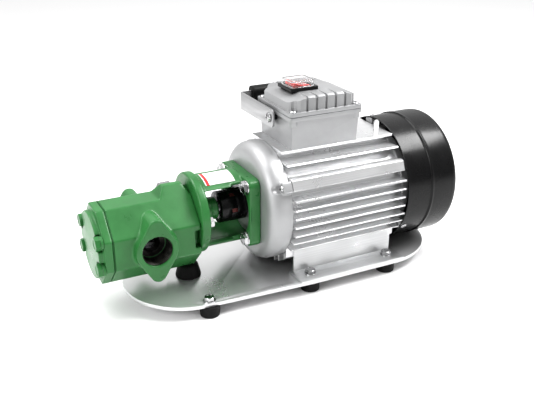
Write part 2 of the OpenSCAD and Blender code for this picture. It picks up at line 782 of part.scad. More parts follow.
module front_shield() {
    fillet = 14;
    face_r = shield_r - fillet;
    boss_len = 4.5;
    bearing_seat = bearing_r;
    x2 = x_house;
    steps = 6;
    color([0.8, 0.81, 0.82]) difference() {
        union() {
            turned(concat(
                [[x_shield - boss_len, 0], [x_shield - boss_len, 27], [x_shield - boss_len + 1, 28],
                    [x_shield - 3, 28], [x_shield - 3, register_r],
                 [x_shield, register_r], [x_shield, face_r]],
                [for (i = [1:steps]) [x_shield + fillet * (1 - cos(i * 90 / steps)),
                    face_r + fillet * sin(i * 90 / steps)]],
                [[x2 - 6, shield_r], [x2 - 5.6, shield_r - 0.8], [x2 - 4.8, shield_r - 0.8],
                    [x2 - 4.4, shield_r - 0.2], [x2 - 0.8, shield_r - 0.2], [x2, shield_r - 1], [x2, 0]]));
            intersection() {
                along_x(x2 - shield_tab_t, shield_tab_t) translate([0, axis_z]) for (a = shield_tabs)
                    rotate(a) translate([shield_r - 8, -6]) square([16, 12]);
                bar_x(x2 - shield_tab_t, shield_tab_t, shield_tab_r);
            }
        }
        turned([[x_bearing1 + bearing_t, 0], [x_bearing1 + bearing_t, bearing_r + 4],
            [x_bearing1 + bearing_t + 1, shield_r - 12],
            [x2 + 1, shield_r - 7], [x2 + 1, 0]]);
        bar_x(x_bearing1, bearing_t + 2, bearing_seat);
        bar_x(x_shield - 20, 60, motor_shaft_r + 1);
        for (p = lantern_places) bar_x(x_shield - 1, 16, m8_r, p[0], p[1]);
        for (p = shield_places) {
            bar_x(x2 - shield_tab_t - 1, shield_tab_t + 2, m4_r + 0.4, p[0], p[1]);
            bar_x(x_shield, shield_len - shield_tab_t, m4_head_r + 0.8, p[0], p[1]);
        }
    }
}

module shield_screws() {
    color([0.85, 0.85, 0.87]) for (p = shield_places) {
        bar_x(x_house - shield_tab_t - m4_head_h, m4_head_h, m4_head_r, p[0], p[1]);
        bar_x(x_house - shield_tab_t - 0.5, shield_tab_t + 8, m4_r, p[0], p[1]);
    }
}

// One side of the housing's outline, seen along the shaft with the shaft at its origin
module housing_side(s) {
    for (k = [-4:2]) translate([s > 0 ? fin_root : -fin_r, k * fin_pitch - fin_t / 2])
        square([fin_r - fin_root, fin_t]);
    polygon([[s * 45, 18], [s * 55, facet_lo - 1.8], [s * 64.6, facet_lo],
        [s * 60.3, facet_hi], [s * 56, facet_hi + 1], [s * 35, 36]]);
    translate([s > 0 ? 20 : -49.5, 52]) square([29.5, fin_t]);
    translate([s > 0 ? bracket_y - web_rib_t : -bracket_y, -shaft_h + 8]) square([web_rib_t, shaft_h - 40]);
}

module housing_outline() {
    difference() {
        union() {
            intersection() {
                union() {
                    circle(core_r, $fn = 128);
                    for (s = [-1, 1]) housing_side(s);
                    for (k = [-3:3]) translate([k * fin_pitch - fin_t / 2, -fin_r])
                        square([fin_t, fin_r - core_r + 16]);
                }
                circle(fin_r + 2.6, $fn = 128);
            }
            translate([-pad_half, pad_h - 2.6]) square([2 * pad_half, 2.6]);
            translate([-26, 40]) square([52, pad_h - 41]);
        }
        circle(stator_r);
        for (s = [-1, 1]) translate([s > 0 ? bracket_y : -bracket_y - 30, -90])
            square([30, 90 - 4 * fin_pitch - fin_t / 2]);
    }
}

module motor_housing() {
    tab_len = 10;
    wire_r = 9;
    color([0.8, 0.81, 0.82]) difference() {
        union() {
            along_x(x_house, house_len) translate([0, axis_z]) housing_outline();
            intersection() {
                along_x(x_house, tab_len) translate([0, axis_z]) for (a = shield_tabs)
                    rotate(a) translate([core_r - 2, -5]) square([16, 10]);
                bar_x(x_house, tab_len, shield_tab_r);
            }
        }
        for (p = shield_places) bar_x(x_house - 1, tab_len, m4_r, p[0], p[1]);
        translate([box_x, 0, pad_z - 30]) cylinder(h = 40, r = wire_r);
    }
}

module stator_core() {
    slots = 24;
    color([0.35, 0.35, 0.37]) along_x(x_stator, stator_len) translate([0, axis_z]) difference() {
        circle(stator_r);
        circle(stator_bore_r);
        for (k = [0:slots - 1]) rotate(k * 360 / slots) {
            translate([stator_bore_r + 2, -1.6]) square([10, 3.2]);
            translate([stator_bore_r - 1, -0.7]) square([4, 1.4]);
        }
    }
}

module stator_windings() {
    coil_len = 18;
    r1 = stator_bore_r + 3;
    r2 = stator_r - 5;
    color([0.72, 0.38, 0.16]) for (x = [x_stator - coil_len, x_stator + stator_len])
        turned([[x, r1 + 2], [x + 2, r1], [x + coil_len - 2, r1], [x + coil_len, r1 + 2],
            [x + coil_len, r2 - 2], [x + coil_len - 2, r2], [x + 2, r2], [x, r2 - 2]]);
}

module rotor() {
    r = stator_bore_r - rotor_gap;
    ring = 8;
    bore = motor_shaft_r + 2;
    color([0.55, 0.55, 0.57]) turned([
        [x_stator - ring, bore + 6], [x_stator - ring, r - 4], [x_stator, r - 4], [x_stator, r],
        [x_stator + stator_len, r], [x_stator + stator_len, r - 4], [x_stator + stator_len + ring, r - 4],
        [x_stator + stator_len + ring, bore + 6], [x_stator + stator_len, bore + 6],
            [x_stator + stator_len, bore],
        [x_stator, bore], [x_stator, bore + 6]]);
}

module motor_shaft() {
    r = motor_shaft_r;
    fan_seat_r = r - 2.5;
    color([0.66, 0.66, 0.68]) turned([
        [motor_shaft_start, 0], [motor_shaft_start, coupling_bore_r - 0.5],
            [motor_shaft_start + 0.5, coupling_bore_r], [coupling_end + 0.5, coupling_bore_r],
        [coupling_end + 0.5, r - 0.5], [x_bearing1, r - 0.5], [x_bearing1, r], [x_bearing1 + bearing_t, r],
        [x_bearing1 + bearing_t, r + 1], [x_stator, r + 1], [x_stator, r + 2],
            [x_stator + stator_len, r + 2],
        [x_stator + stator_len, r + 1], [x_bearing2, r + 1], [x_bearing2, r], [x_bearing2 + bearing_t, r],
        [x_bearing2 + bearing_t, fan_seat_r], [fan_hub_x + 17, fan_seat_r],
            [fan_hub_x + 18, fan_seat_r - 1], [fan_hub_x + 18, 0]]);
}

// Shielded ball bearing
module bearing(x0) {
    color([0.7, 0.7, 0.73]) turned([
        [x0, motor_shaft_r + run_gap], [x0, motor_shaft_r + 3], [x0 + 1, motor_shaft_r + 4],
            [x0 + 1, bearing_r - 4],
        [x0, bearing_r - 3], [x0, bearing_r - 0.8], [x0 + 0.8, bearing_r],
            [x0 + bearing_t - 0.8, bearing_r],
        [x0 + bearing_t, bearing_r - 0.8], [x0 + bearing_t, bearing_r - 3],
            [x0 + bearing_t - 1, bearing_r - 4],
        [x0 + bearing_t - 1, motor_shaft_r + 4], [x0 + bearing_t, motor_shaft_r + 3],
            [x0 + bearing_t, motor_shaft_r + run_gap]]);
}

module front_bearing() {
    bearing(x_bearing1);
}

module rear_bearing() {
    bearing(x_bearing2);
}

cowl_lugs = [79, -33, -145];
cowl_lug_x = x_cowl + 6;

module rear_shield() {
    rim = core_r + 3;
    color([0.78, 0.79, 0.8]) difference() {
        union() {
            turned([[x_house_end, 0], [x_house_end, rim], [x_house_end + 9, rim],
                [x_house_end + 13, rim - 6],
                [x_house_end + 9, bearing_r + 12], [shield_face, bearing_r + 6],
                    [shield_face + 1, bearing_r + 4], [shield_face + 1, 0]]);
            for (a = cowl_lugs) intersection() {
                along_x(x_house_end + 1, 14) translate([0, axis_z]) rotate(a) translate([rim - 8, -6])
                    square([24, 12]);
                bar_x(x_house_end, 20, cowl_r - cowl_wall - 0.05);
            }
        }
        turned([[x_house_end - 1, 0], [x_house_end - 1, rim - 8], [x_house_end + 5, rim - 12],
            [x_house_end + 3, bearing_r + 4], [x_house_end + 3, 0]]);
        bar_x(x_bearing2, bearing_t, bearing_r);
        bar_x(x_house_end, 60, motor_shaft_r + 1.5);
        for (a = cowl_lugs) translate([cowl_lug_x, 0, axis_z]) rotate([a, 0, 0]) translate([0, rim - 2, 0])
            rotate([-90, 0, 0]) cylinder(h = 20, r = m4_r);
    }
}

module cooling_fan() {
    blades = 8;
    hub_r = 15;
    shaft_r = motor_shaft_r - 2.5;
    color([0.15, 0.15, 0.16]) difference() {
        union() {
            turned([[fan_hub_x, shaft_r], [fan_hub_x, hub_r - 1], [fan_hub_x + 1, hub_r],
                [fan_hub_x + 3, hub_r],
                [fan_hub_x + 3, 52], [fan_hub_x + 5, 52], [fan_hub_x + 5, hub_r],
                    [fan_hub_x + 17, hub_r - 1], [fan_hub_x + 17, shaft_r]]);
            for (k = [0:blades - 1]) along_x(fan_hub_x + 4, fan_len - 4) translate([0, axis_z])
                rotate(k * 360 / blades) translate([22, -1]) square([38, 2]);
        }
        translate([fan_hub_x + 10, 0, axis_z]) cylinder(h = 30, r = 1.5);
    }
}

module fan_cowl() {
    w = cowl_wall;
    xs = x_cowl + cowl_step;
    r2 = cowl_r + 1.2;
    fillet = 10;
    steps = 5;
    grille_r = [for (r = [18:9:54]) r];
    color([0.08, 0.08, 0.085]) difference() {
        turned(concat(
            [[x_cowl, cowl_r - w], [x_cowl, cowl_r], [xs, cowl_r], [xs + 1.2, r2]],
            [for (i = [0:steps]) [x_end - fillet + fillet * sin(i * 90 / steps),
                r2 - fillet + fillet * cos(i * 90 / steps)]],
            [[x_end, 0], [x_end - w, 0]],
            [for (i = [0:steps]) [x_end - fillet + (fillet - w) * cos(i * 90 / steps),
                r2 - fillet + (fillet - w) * sin(i * 90 / steps)]],
            [[xs + 1.2, r2 - w], [xs, cowl_r - w]]));
        along_x(x_end - 3, 6) translate([0, axis_z]) difference() {
            for (r = grille_r) difference() {
                circle(r + 2.5);
                circle(r - 2.5);
            }
            for (k = [0:2]) rotate(k * 60) square([140, 5], center = true);
        }
        for (a = cowl_lugs) translate([cowl_lug_x, 0, axis_z]) rotate([a, 0, 0])
            translate([0, cowl_r - 5, 0])
            rotate([-90, 0, 0]) cylinder(h = 10, r = m4_r + 0.2);
    }
}

module cowl_screws() {
    color([0.75, 0.72, 0.68]) for (a = cowl_lugs) translate([cowl_lug_x, 0, axis_z]) rotate([a, 0, 0])
        rotate([-90, 0, 0]) {
        translate([0, 0, cowl_r]) cylinder(h = 1.6, r = m4_head_r);
        translate([0, 0, core_r + 3]) cylinder(h = cowl_r - core_r - 2.5, r = m4_r);
    }
}

// Upright tab at the rear corner of the housing's pad
module cowl_tab() {
    tab_h = 19;
    tab_w = 6.5;
    color([0.8, 0.8, 0.8]) translate([x_house_end - 21.7, -pad_half + 1.6, pad_z]) rotate([90, 0, 0])
        linear_extrude(1.6) {
        translate([-tab_w / 2, 0]) square([tab_w, tab_h - tab_w / 2]);
        translate([0, tab_h - tab_w / 2]) circle(tab_w / 2);
    }
}

// Box whose four walls lean outward from foot to rim by the given margins
module flared_block(l, w, z0, h, flare, inset) {
    intersection() {
        along_y(-w, 2 * w) polygon([
            [box_x - l / 2 + inset, z0], [box_x + l / 2 - inset, z0],
            [box_x + l / 2 - inset + flare, z0 + h], [box_x - l / 2 + inset - flare, z0 + h]]);
        along_x(box_x - l, 2 * l) polygon([
            [-w / 2 + inset, z0], [w / 2 - inset, z0], [w / 2 - inset + flare, z0 + h],
                [-w / 2 + inset - flare, z0 + h]]);
    }
}

module switch_box() {
    color([0.76, 0.77, 0.77]) difference() {
        union() {
            flared_block(box_l, box_w, pad_z, box_h, box_flare, 0);
            for (p = box_places) translate([p[0], p[1], box_top - rim_h - 6])
                cylinder(h = rim_h + 6, r = 4.5);
            translate([box_x, 0, box_top - rim_h]) linear_extrude(rim_h) round_rect(rim_l, rim_w, 3);
        }
        difference() {
            flared_block(box_l, box_w, pad_z + box_wall, box_h, box_flare, box_wall);
            for (p = box_places) translate([p[0], p[1], pad_z]) cylinder(h = box_h + 1, r = 5.5);
        }
        for (p = box_places) translate([p[0], p[1], box_top - 12]) cylinder(h = 14, r = m4_r);
        translate([box_x, 0, pad_z - 1]) cylinder(h = box_wall + 2, r = 9);
        for (s = [-1, 1]) bar_x(s > 0 ? box_x + box_l / 2 - box_wall - 1 : box_x - box_l / 2 - 5,
            6 + box_wall, m4_r, 0, pivot_z);
        bar_y(box_w / 2 - box_wall - 2, box_wall + 10, 8, box_x + 20, pad_z + box_h / 2);
    }
}

module box_gasket() {
    color([0.12, 0.12, 0.12]) translate([box_x, 0, box_top]) difference() {
        linear_extrude(box_gasket_t) round_rect(rim_l - 0.6, rim_w - 0.6, 3);
        translate([0, 0, -1]) linear_extrude(box_gasket_t + 2) round_rect(rim_l - 14, rim_w - 14, 3);
        for (p = box_places) translate([p[0] - box_x, p[1], -1])
            cylinder(h = box_gasket_t + 2, r = m4_r + 0.2);
    }
}

// Raised middle of the lid: cut corners, a flat top, and ends that slope down to a low wall
module lid_crown(inset) {
    l = crown_l - inset;
    w = crown_w - inset;
    c = crown_cut;
    z0 = lid_z;
    z1 = lid_z + rim_t + crown_end_h - inset;
    z2 = lid_top - inset;
    intersection() {
        translate([box_x, 0, z0]) linear_extrude(rim_t + lid_h) polygon([
            [l, w - c], [l - c, w], [c - l, w], [-l, w - c], [-l, c - w], [c - l, -w], [l - c, -w],
                [l, c - w]]);
        along_y(-crown_w, 2 * crown_w) polygon([
            [box_x - l, z0], [box_x + l, z0], [box_x + l, z1], [box_x + l - crown_slope, z2],
            [box_x - l + crown_slope, z2], [box_x - l, z1]]);
        along_x(box_x - crown_l, 2 * crown_l) polygon([
            [-w, z0], [w, z0], [w, z2 - crown_edge], [w - 2 * crown_edge, z2],
                [2 * crown_edge - w, z2], [-w, z2 - crown_edge]]);
    }
}

// Outline of one groove that runs up the crown's long side and onto its top
module lid_groove(s) {
    z0 = lid_z + rim_t;
    z2 = lid_top - crown_edge;
    y1 = crown_w + 1;
    y2 = crown_w - groove_t;
    y3 = crown_w - 2 * crown_edge - groove_t;
    polygon([[s * y1, z0], [s * y2, z0], [s * y2, z2 - groove_t], [s * y3, lid_top - groove_t],
        [s * (y3 - 15), lid_top], [s * (y3 - 15), lid_top + 1], [s * y1, lid_top + 1]]);
}

module box_lid() {
    groove_pitch = 11.5;
    groove_w = 2.2;
    hole = 13.6;
    color([0.78, 0.79, 0.79]) difference() {
        union() {
            translate([box_x, 0, lid_z]) linear_extrude(rim_t) round_rect(rim_l, rim_w, 3);
            lid_crown(0);
        }
        translate([0, 0, -0.01]) lid_crown(box_wall);
        for (p = box_places) {
            translate([p[0], p[1], lid_z - 1]) cylinder(h = rim_t + 2, r = m4_r + 0.3);
            translate([p[0], p[1], lid_z + rim_t]) cylinder(h = lid_h + 1, r = m4_head_r + 1.2);
        }
        for (k = [-2:2], s = [-1, 1]) along_x(box_x + k * groove_pitch - groove_w / 2, groove_w)
            lid_groove(s);
        translate([switch_x - hole, 1 - hole, lid_z + rim_t]) cube([2 * hole, 2 * hole - 2, lid_h + 1]);
    }
}

module lid_screws() {
    color([0.85, 0.85, 0.86]) for (p = box_places) translate([p[0], p[1], lid_z + rim_t]) {
        difference() {
            cylinder(h = m4_head_h, r = m4_head_r);
            translate([-4, -0.5, m4_head_h - 0.9]) cube([8, 1, 1]);
            translate([-0.5, -4, m4_head_h - 0.9]) cube([1, 8, 1]);
        }
        translate([0, 0, -rim_t - box_gasket_t - 10]) cylinder(h = rim_t + box_gasket_t + 10.5, r = m4_r);
    }
}

module run_capacitor() {
    r = 11;
    color([0.85, 0.85, 0.83]) {
        translate([box_x + 14, -14, pad_z + box_wall + r]) rotate([0, 90, 0]) {
            translate([0, 0, -18]) cylinder(h = 36, r = r);
            translate([0, 0, -20]) cylinder(h = 40, r = 4);
        }
    }
}

module terminal_block() {
    color([0.2, 0.2, 0.22]) difference() {
        translate([box_x - 24, 2, pad_z + box_wall]) cube([30, 16, 12]);
        for (k = [0:2]) translate([box_x - 19 + 10 * k, 10, pad_z + box_wall + 5])
            cylinder(h = 10, r = 2.5);
    }
}

module cable_gland() {
    y0 = box_w / 2 + box_flare / 2;
    x = box_x + 20;
    z = pad_z + box_h / 2;
    color([0.1, 0.1, 0.1]) difference() {
        union() {
            bar_y(y0 - box_wall - 3, box_wall + 4, 7.9, x, z);
            translate([x, y0 + 0.5, z]) rotate([-90, 0, 0]) cylinder(h = 5, r = 11, $fn = 6);
            bar_y(y0 + 5, 9, 8.5, x, z);
        }
        bar_y(y0 - box_wall - 4, box_wall + 20, 4.5, x, z);
    }
}

module switch_frame() {
    depth = 22;
    color([0.06, 0.06, 0.06]) difference() {
        union() {
            translate([switch_x, 0, lid_top]) linear_extrude(switch_flange)
                round_rect(switch_l, switch_w, 1.5);
            translate([switch_x - 13.4, -12.4, switch_z - depth]) cube([26.8, 24.8, depth - 1]);
        }
        translate([switch_x - rocker_r - 0.4, -rocker_w / 2 - 0.3, switch_z - depth + 6])
            cube([2 * rocker_r + 0.8, rocker_w + 0.6, depth]);
        bar_y(-12, 24, 1.55, switch_x, rocker_z);
    }
}

module switch_rocker() {
    w = rocker_r;
    color([0.85, 0.1, 0.08]) translate([switch_x, 0, rocker_z]) rotate([0, rocker_turn / 2, 0]) {
        translate([0, rocker_w / 2, 0]) rotate([90, 0, 0]) linear_extrude(rocker_w) intersection() {
            circle(w);
            polygon([[-w, -4], [w, -4], [w, 5.2], [0, 3.4], [-w, 5.2]]);
        }
        translate([0, -11.5, 0]) rotate([-90, 0, 0]) cylinder(h = 23, r = 1.5);
    }
}

// Clear splash cover over the rocker
module switch_boot() {
    l = 28;
    w = 25;
    color([0.85, 0.9, 0.92, 0.4]) translate([switch_x, 0, switch_z]) difference() {
        union() {
            linear_extrude(1) round_rect(l + 2, w + 2, 3);
            linear_extrude(boot_top - switch_z) round_rect(l, w, 3);
        }
        translate([0, 0, -1]) linear_extrude(boot_top - switch_z - boot_wall + 1)
            round_rect(l - 2 * boot_wall, w - 2 * boot_wall, 2);
    }
}

// Strip of the handle: an arm on each side of the box and a bar behind it
module handle_bail() {
    half = arm_x + strip_t;
    r = corner_r;
    y1 = handle_reach;
    z0 = pivot_z - strip_w / 2;
    color([0.82, 0.83, 0.84]) difference() {
        intersection() {
            translate([box_x, 0, z0]) linear_extrude(strip_w) difference() {
                union() {
                    translate([-half, -strip_end]) square([2 * half, y1 + strip_end - r]);
                    translate([-half + r, 0]) square([2 * half - 2 * r, y1]);
                    for (s = [-1, 1]) translate([s * (half - r), y1 - r]) circle(r);
                }
                translate([-half + strip_t, -strip_w]) square([2 * half - 2 * strip_t, y1 + strip_w - r]);
                translate([-half + r, -strip_w]) square([2 * half - 2 * r, y1 + strip_w - strip_t]);
                for (s = [-1, 1]) translate([s * (half - r), y1 - r]) circle(r - strip_t);
            }
            along_x(box_x - half - 1, 2 * half + 2) translate([(y1 - strip_end) / 2 + 1, pivot_z])
                round_rect(y1 + strip_end + 2, strip_w, 5);
        }
        bar_x(box_x - half - 1, 2 * half + 2, 3 + run_gap, 0, pivot_z);
    }
}

module handle_grip() {
    l = 2 * (arm_x - 13);
    y0 = handle_reach - strip_t - 5.5;
    color([0.06, 0.06, 0.06]) difference() {
        along_x(box_x - l / 2, l) translate([y0 + grip_t / 2, pivot_z]) round_rect(grip_t, grip_h, 6);
        along_x(box_x - l, 2 * l) translate([handle_reach - strip_t, pivot_z - strip_w / 2])
            square([strip_t, strip_w]);
    }
}

// Shouldered screws that the handle turns on
module handle_pivots() {
    color([0.85, 0.85, 0.86]) for (s = [-1, 1]) {
        x1 = box_x + s * (box_l / 2 - 1);
        x2 = box_x + s * (arm_x - 0.1);
        x3 = box_x + s * (arm_x + strip_t + 0.2);
        wall_x = box_x + s * (box_l / 2 + box_flare * 0.9);
        collar_r = box_top - rim_h - pivot_z - 0.2;
        bar_x(min(x1, wall_x), abs(wall_x - x1) + 0.5, m4_r, 0, pivot_z);
        bar_x(min(wall_x, x2), abs(x2 - wall_x), collar_r, 0, pivot_z);
        bar_x(min(x2, x3), abs(x3 - x2), 3, 0, pivot_z);
        bar_x(s > 0 ? x3 : x3 - 3, 3, 5.5, 0, pivot_z);
    }
}

translate([0, origin_y, 0]) {
    base_plate();
    rubber_feet();
    foot_bolts();
    foot_washers();
    foot_nuts();
    pump_support();
    foot_brackets();
    pump_body();
    cover_gasket();
    front_cover();
    cover_bolts();
    front_bearing_block();
    rear_bearing_block();
    drive_gear();
    pump_shaft();
    driven_gear();
    shaft_seal();
    seal_gland();
    relief_poppet();
    relief_spring();
    relief_cap();
    lantern();
    pump_flange_bolts();
    lantern_bolts();
    coupling_hub_pump();
    coupling_spider();
    coupling_hub_motor();
    coupling_screws();
    front_shield();
    shield_screws();
    motor_housing();
    stator_core();
    stator_windings();
    rotor();
    motor_shaft();
    front_bearing();
    rear_bearing();
    rear_shield();
    cooling_fan();
    fan_cowl();
    cowl_screws();
    cowl_tab();
    switch_box();
    box_gasket();
    box_lid();
    lid_screws();
    run_capacitor();
    terminal_block();
    cable_gland();
    switch_frame();
    switch_rocker();
    switch_boot();
    handle_bail();
    handle_grip();
    handle_pivots();
}
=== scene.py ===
"""Fuel transfer pump: finishes, cast forms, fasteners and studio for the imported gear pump."""

import functools
import json
import math

import bmesh
import bpy
from bpy.props import FloatProperty, FloatVectorProperty, IntProperty, PointerProperty
from mathutils import Matrix, Vector


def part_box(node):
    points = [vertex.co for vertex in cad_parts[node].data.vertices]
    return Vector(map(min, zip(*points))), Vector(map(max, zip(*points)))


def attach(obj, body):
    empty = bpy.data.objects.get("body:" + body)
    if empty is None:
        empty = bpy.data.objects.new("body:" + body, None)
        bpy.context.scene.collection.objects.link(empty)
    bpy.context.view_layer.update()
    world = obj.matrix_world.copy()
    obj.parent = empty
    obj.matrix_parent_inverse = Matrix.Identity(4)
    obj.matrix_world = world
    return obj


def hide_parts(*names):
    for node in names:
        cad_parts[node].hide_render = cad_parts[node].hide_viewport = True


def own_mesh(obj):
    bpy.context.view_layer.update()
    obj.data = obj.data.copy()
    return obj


bl_info = {
    "name": "Fuel Transfer Pump",
    "version": (1, 0, 0),
    "blender": (4, 5, 0),
    "location": "View3D > Sidebar > Pump",
    "description": "Dresses the packed gear pump with its castings, fasteners, finishes and studio",
    "category": "Object",
}

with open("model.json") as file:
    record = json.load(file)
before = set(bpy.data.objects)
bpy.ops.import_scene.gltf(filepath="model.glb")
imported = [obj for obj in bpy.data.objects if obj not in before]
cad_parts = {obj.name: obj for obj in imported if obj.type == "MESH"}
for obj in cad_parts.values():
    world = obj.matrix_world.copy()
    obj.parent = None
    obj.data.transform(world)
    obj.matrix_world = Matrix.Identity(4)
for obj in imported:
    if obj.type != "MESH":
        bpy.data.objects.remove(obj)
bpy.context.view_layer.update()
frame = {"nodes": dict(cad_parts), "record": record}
NODES = frame["nodes"]
SLOT_OF = {p["node"]: p["material_slot"] for p in frame["record"]["subparts"]}
JOINTS = {joint["name"]: joint for joint in frame["record"]["behaviour"]["joints"]}
FRAME, SHAFT_LINE = "frame", "shaft_assembly"

SHAFT = (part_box("motor_shaft")[0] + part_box("motor_shaft")[1]) / 2
SHAFT_Y, SHAFT_Z = SHAFT.y, SHAFT.z
LANTERN_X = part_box("lantern")[0].x

WELD = 1e-6
MIX_A, MIX_B, MIX_RESULT = 6, 7, 2  # the colour sockets of a mix node


# ---------------------------------------------------------------- shader nodes

def feed(tree, value, socket):
    """Links another node's socket to this one, or sets it to a plain value."""
    if isinstance(value, bpy.types.NodeSocket):
        tree.links.new(value, socket)
    else:
        socket.default_value = value


def add(tree, kind, **values):
    """Adds a node. A key that names an input, with _ for a blank, feeds it; any other sets a property."""
    node = tree.nodes.new(kind)
    for key, value in values.items():
        label = key.replace("_", " ")
        if label in node.inputs:
            feed(tree, value, node.inputs[label])
        else:
            setattr(node, key, value)
    return node


def calc(tree, operation, a, b):
    """A Math node on two sockets or numbers."""
    node = add(tree, "ShaderNodeMath", operation=operation)
    feed(tree, a, node.inputs[0])
    feed(tree, b, node.inputs[1])
    return node.outputs[0]


def place(tree, scale=(1, 1, 1)):
    """Object coordinates in metres, stretched by scale."""
    coord = add(tree, "ShaderNodeTexCoord").outputs["Object"]
    return add(tree, "ShaderNodeMapping", Vector=coord, Scale=scale).outputs["Vector"]


def noise(tree, vector, scale, detail):
    """A noise value, mostly between 0.3 and 0.7."""
    return add(tree, "ShaderNodeTexNoise", Vector=vector, Scale=scale, Detail=detail, Roughness=0.55).outputs["Fac"]


def bands(tree, scale, distortion):
    """A value that rises and falls along the shaft line."""
    wave = add(tree, "ShaderNodeTexWave", wave_type="BANDS", bands_direction="X",
               Vector=place(tree), Scale=scale, Distortion=distortion)
    return wave.outputs["Fac"]


def spread(tree, value, low, high, start=0.3, end=0.7):
    """Maps a value between start and end to the range from low to high."""
    node = add(tree, "ShaderNodeMapRange", Value=value, From_Min=start, From_Max=end, To_Min=low, To_Max=high)
    return node.outputs["Result"]


def tint(tree, value, dark, light, start=0.3, end=0.7):
    """Maps a value between start and end to a colour between dark and light."""
    ramp = add(tree, "ShaderNodeValToRGB", Fac=value)
    for stop, position, colour in zip(ramp.color_ramp.elements, (start, end), (dark, light)):
        stop.position = position
        stop.color = (*colour, 1)
    return ramp.outputs["Color"]


def relief(tree, height, strength, distance, over=None):
    """A bump from a height value, on top of another normal if one is given."""
    node = add(tree, "ShaderNodeBump", Height=height, Strength=strength, Distance=distance)
    if over is not None:
        tree.links.new(over, node.inputs["Normal"])
    return node.outputs["Normal"]


def soft_edge(tree, radius):
    """The normal of an edge broken to the given radius."""
    return add(tree, "ShaderNodeBevel", samples=4, Radius=radius).outputs["Normal"]


def edge_mask(tree, radius):
    """One along broken edges and corners, and zero on flat and gently curved faces."""
    least_turn, full_turn = 0.004, 0.05
    dot = add(tree, "ShaderNodeVectorMath", operation="DOT_PRODUCT")
    tree.links.new(soft_edge(tree, radius), dot.inputs[0])
    tree.links.new(add(tree, "ShaderNodeNewGeometry").outputs["Normal"], dot.inputs[1])
    return spread(tree, dot.outputs["Value"], 1.0, 0.0, 1 - full_turn, 1 - least_turn)


def with_edge_highlight(tree, ground, radius, patchy, colour):
    """The ground colour mixed towards a lighter colour, a painted highlight, where broken edges and a patchy noise
    meet.
    """
    mix = add(tree, "ShaderNodeMix", data_type="RGBA", Factor=calc(tree, "MULTIPLY", edge_mask(tree, radius), patchy))
    tree.links.new(ground, mix.inputs[MIX_A])
    mix.inputs[MIX_B].default_value = (*colour, 1)
    return mix.outputs[MIX_RESULT]


def scaled(colour, factor):
    """A colour made darker or lighter."""
    return tuple(min(1.0, c * factor) for c in colour)


def tinted(tree, value, colour, dark, light, start=0.3, end=0.7):
    """A colour that a value takes from its dark to its light shade."""
    return tint(tree, value, scaled(colour, dark), scaled(colour, light), start, end)


# ---------------------------------------------------------------- materials

def finish(fill):
    """Turns a function that returns what feeds the shader into one that returns its material, made once by name."""
    @functools.wraps(fill)
    def make(name, **values):
        mat = bpy.data.materials.get(name)
        if mat is None:
            mat = bpy.data.materials.new(name)
            mat.use_nodes = True
            tree = mat.node_tree
            for label, value in fill(tree, **values).items():
                feed(tree, value, tree.nodes["Principled BSDF"].inputs[label])
        return mat
    return make


@finish
def enamel(tree, colour, rough=0.32, grain=420, depth=0.00005, edge=0.0008, coat=0.15, gloss=0.35):
    """Thick sprayed enamel over a casting, with orange peel, the casting's slow waves and a painted highlight on
    patches of its broken edges.
    """
    vector = place(tree)
    patches = noise(tree, vector, 38, 4)
    # thin and pale: the patches and the lighter colour of the painted edge highlight
    thin = spread(tree, noise(tree, vector, 170, 4), 0.15, 0.8, 0.42, 0.62)
    pale = tuple(c * 0.6 + 0.22 * max(colour) + 0.03 for c in colour)
    waves = relief(tree, noise(tree, vector, 110, 2), 0.25, 0.00012, soft_edge(tree, edge))
    return {
        "Base Color": with_edge_highlight(tree, tinted(tree, patches, colour, 0.84, 1.14), edge, thin, pale),
        "Roughness": spread(tree, patches, rough * 0.8, rough * 1.3),
        "Normal": relief(tree, noise(tree, vector, grain, 2), 0.35, depth, waves),
        "Coat Weight": coat, "Coat Roughness": 0.15, "IOR": 1.5, "Specular IOR Level": gloss}


@finish
def cast_metal(tree, colour, metallic, rough, grain=1500, edge=0.0009):
    """Die-cast or silver-lacquered metal with a fine grain and faint clouding."""
    vector = place(tree)
    clouds = noise(tree, vector, 30, 5)
    pores = relief(tree, noise(tree, vector, 240, 3), 0.12, 0.0001, soft_edge(tree, edge))
    return {
        "Base Color": tinted(tree, clouds, colour, 0.9, 1.05),
        "Roughness": spread(tree, clouds, rough * 0.85, rough * 1.2),
        "Normal": relief(tree, noise(tree, vector, grain, 2), 0.3, 0.00003, pores),
        "Metallic": metallic}


@finish
def drawn_metal(tree, colour, along="X", rough=0.3, metallic=0.9, depth=0.00002):
    """Drawn, rolled or brushed metal whose fine lines run along one axis."""
    coarse, fine = 6, 900
    lines = noise(tree, place(tree, [coarse if axis == along else fine for axis in "XYZ"]), 1.0, 2)
    return {
        "Base Color": tinted(tree, lines, colour, 0.93, 1.04),
        "Roughness": spread(tree, noise(tree, place(tree), 24, 4), rough * 0.65, rough * 1.35),
        "Normal": relief(tree, lines, 0.25, depth, soft_edge(tree, 0.0003)),
        "Metallic": metallic}


@finish
def turned_metal(tree, colour, rough=0.24):
    """Turned or ground steel with rings about the shaft line."""
    rings = noise(tree, place(tree, (2200, 12, 12)), 1.0, 2)
    return {
        "Base Color": tinted(tree, rings, colour, 0.85, 1.05),
        "Roughness": spread(tree, rings, rough * 0.8, rough * 1.4),
        "Normal": relief(tree, rings, 0.2, 0.00002, soft_edge(tree, 0.0003)),
        "Metallic": 1.0}


@finish
def moulded(tree, colour, rough=0.5, grain=900, depth=0.00006, edge=0.0004, coat=0.0, gloss=0.5):
    """Moulded rubber or plastic with a fine matte grain."""
    vector = place(tree)
    clouds = noise(tree, vector, 55, 4)
    return {
        "Base Color": tinted(tree, clouds, colour, 0.75, 1.3),
        "Roughness": spread(tree, clouds, rough * 0.85, min(1.0, rough * 1.2)),
        "Normal": relief(tree, noise(tree, vector, grain, 3), 0.4, depth, soft_edge(tree, edge)),
        "Coat Weight": coat, "Coat Roughness": 0.1, "Specular IOR Level": gloss}


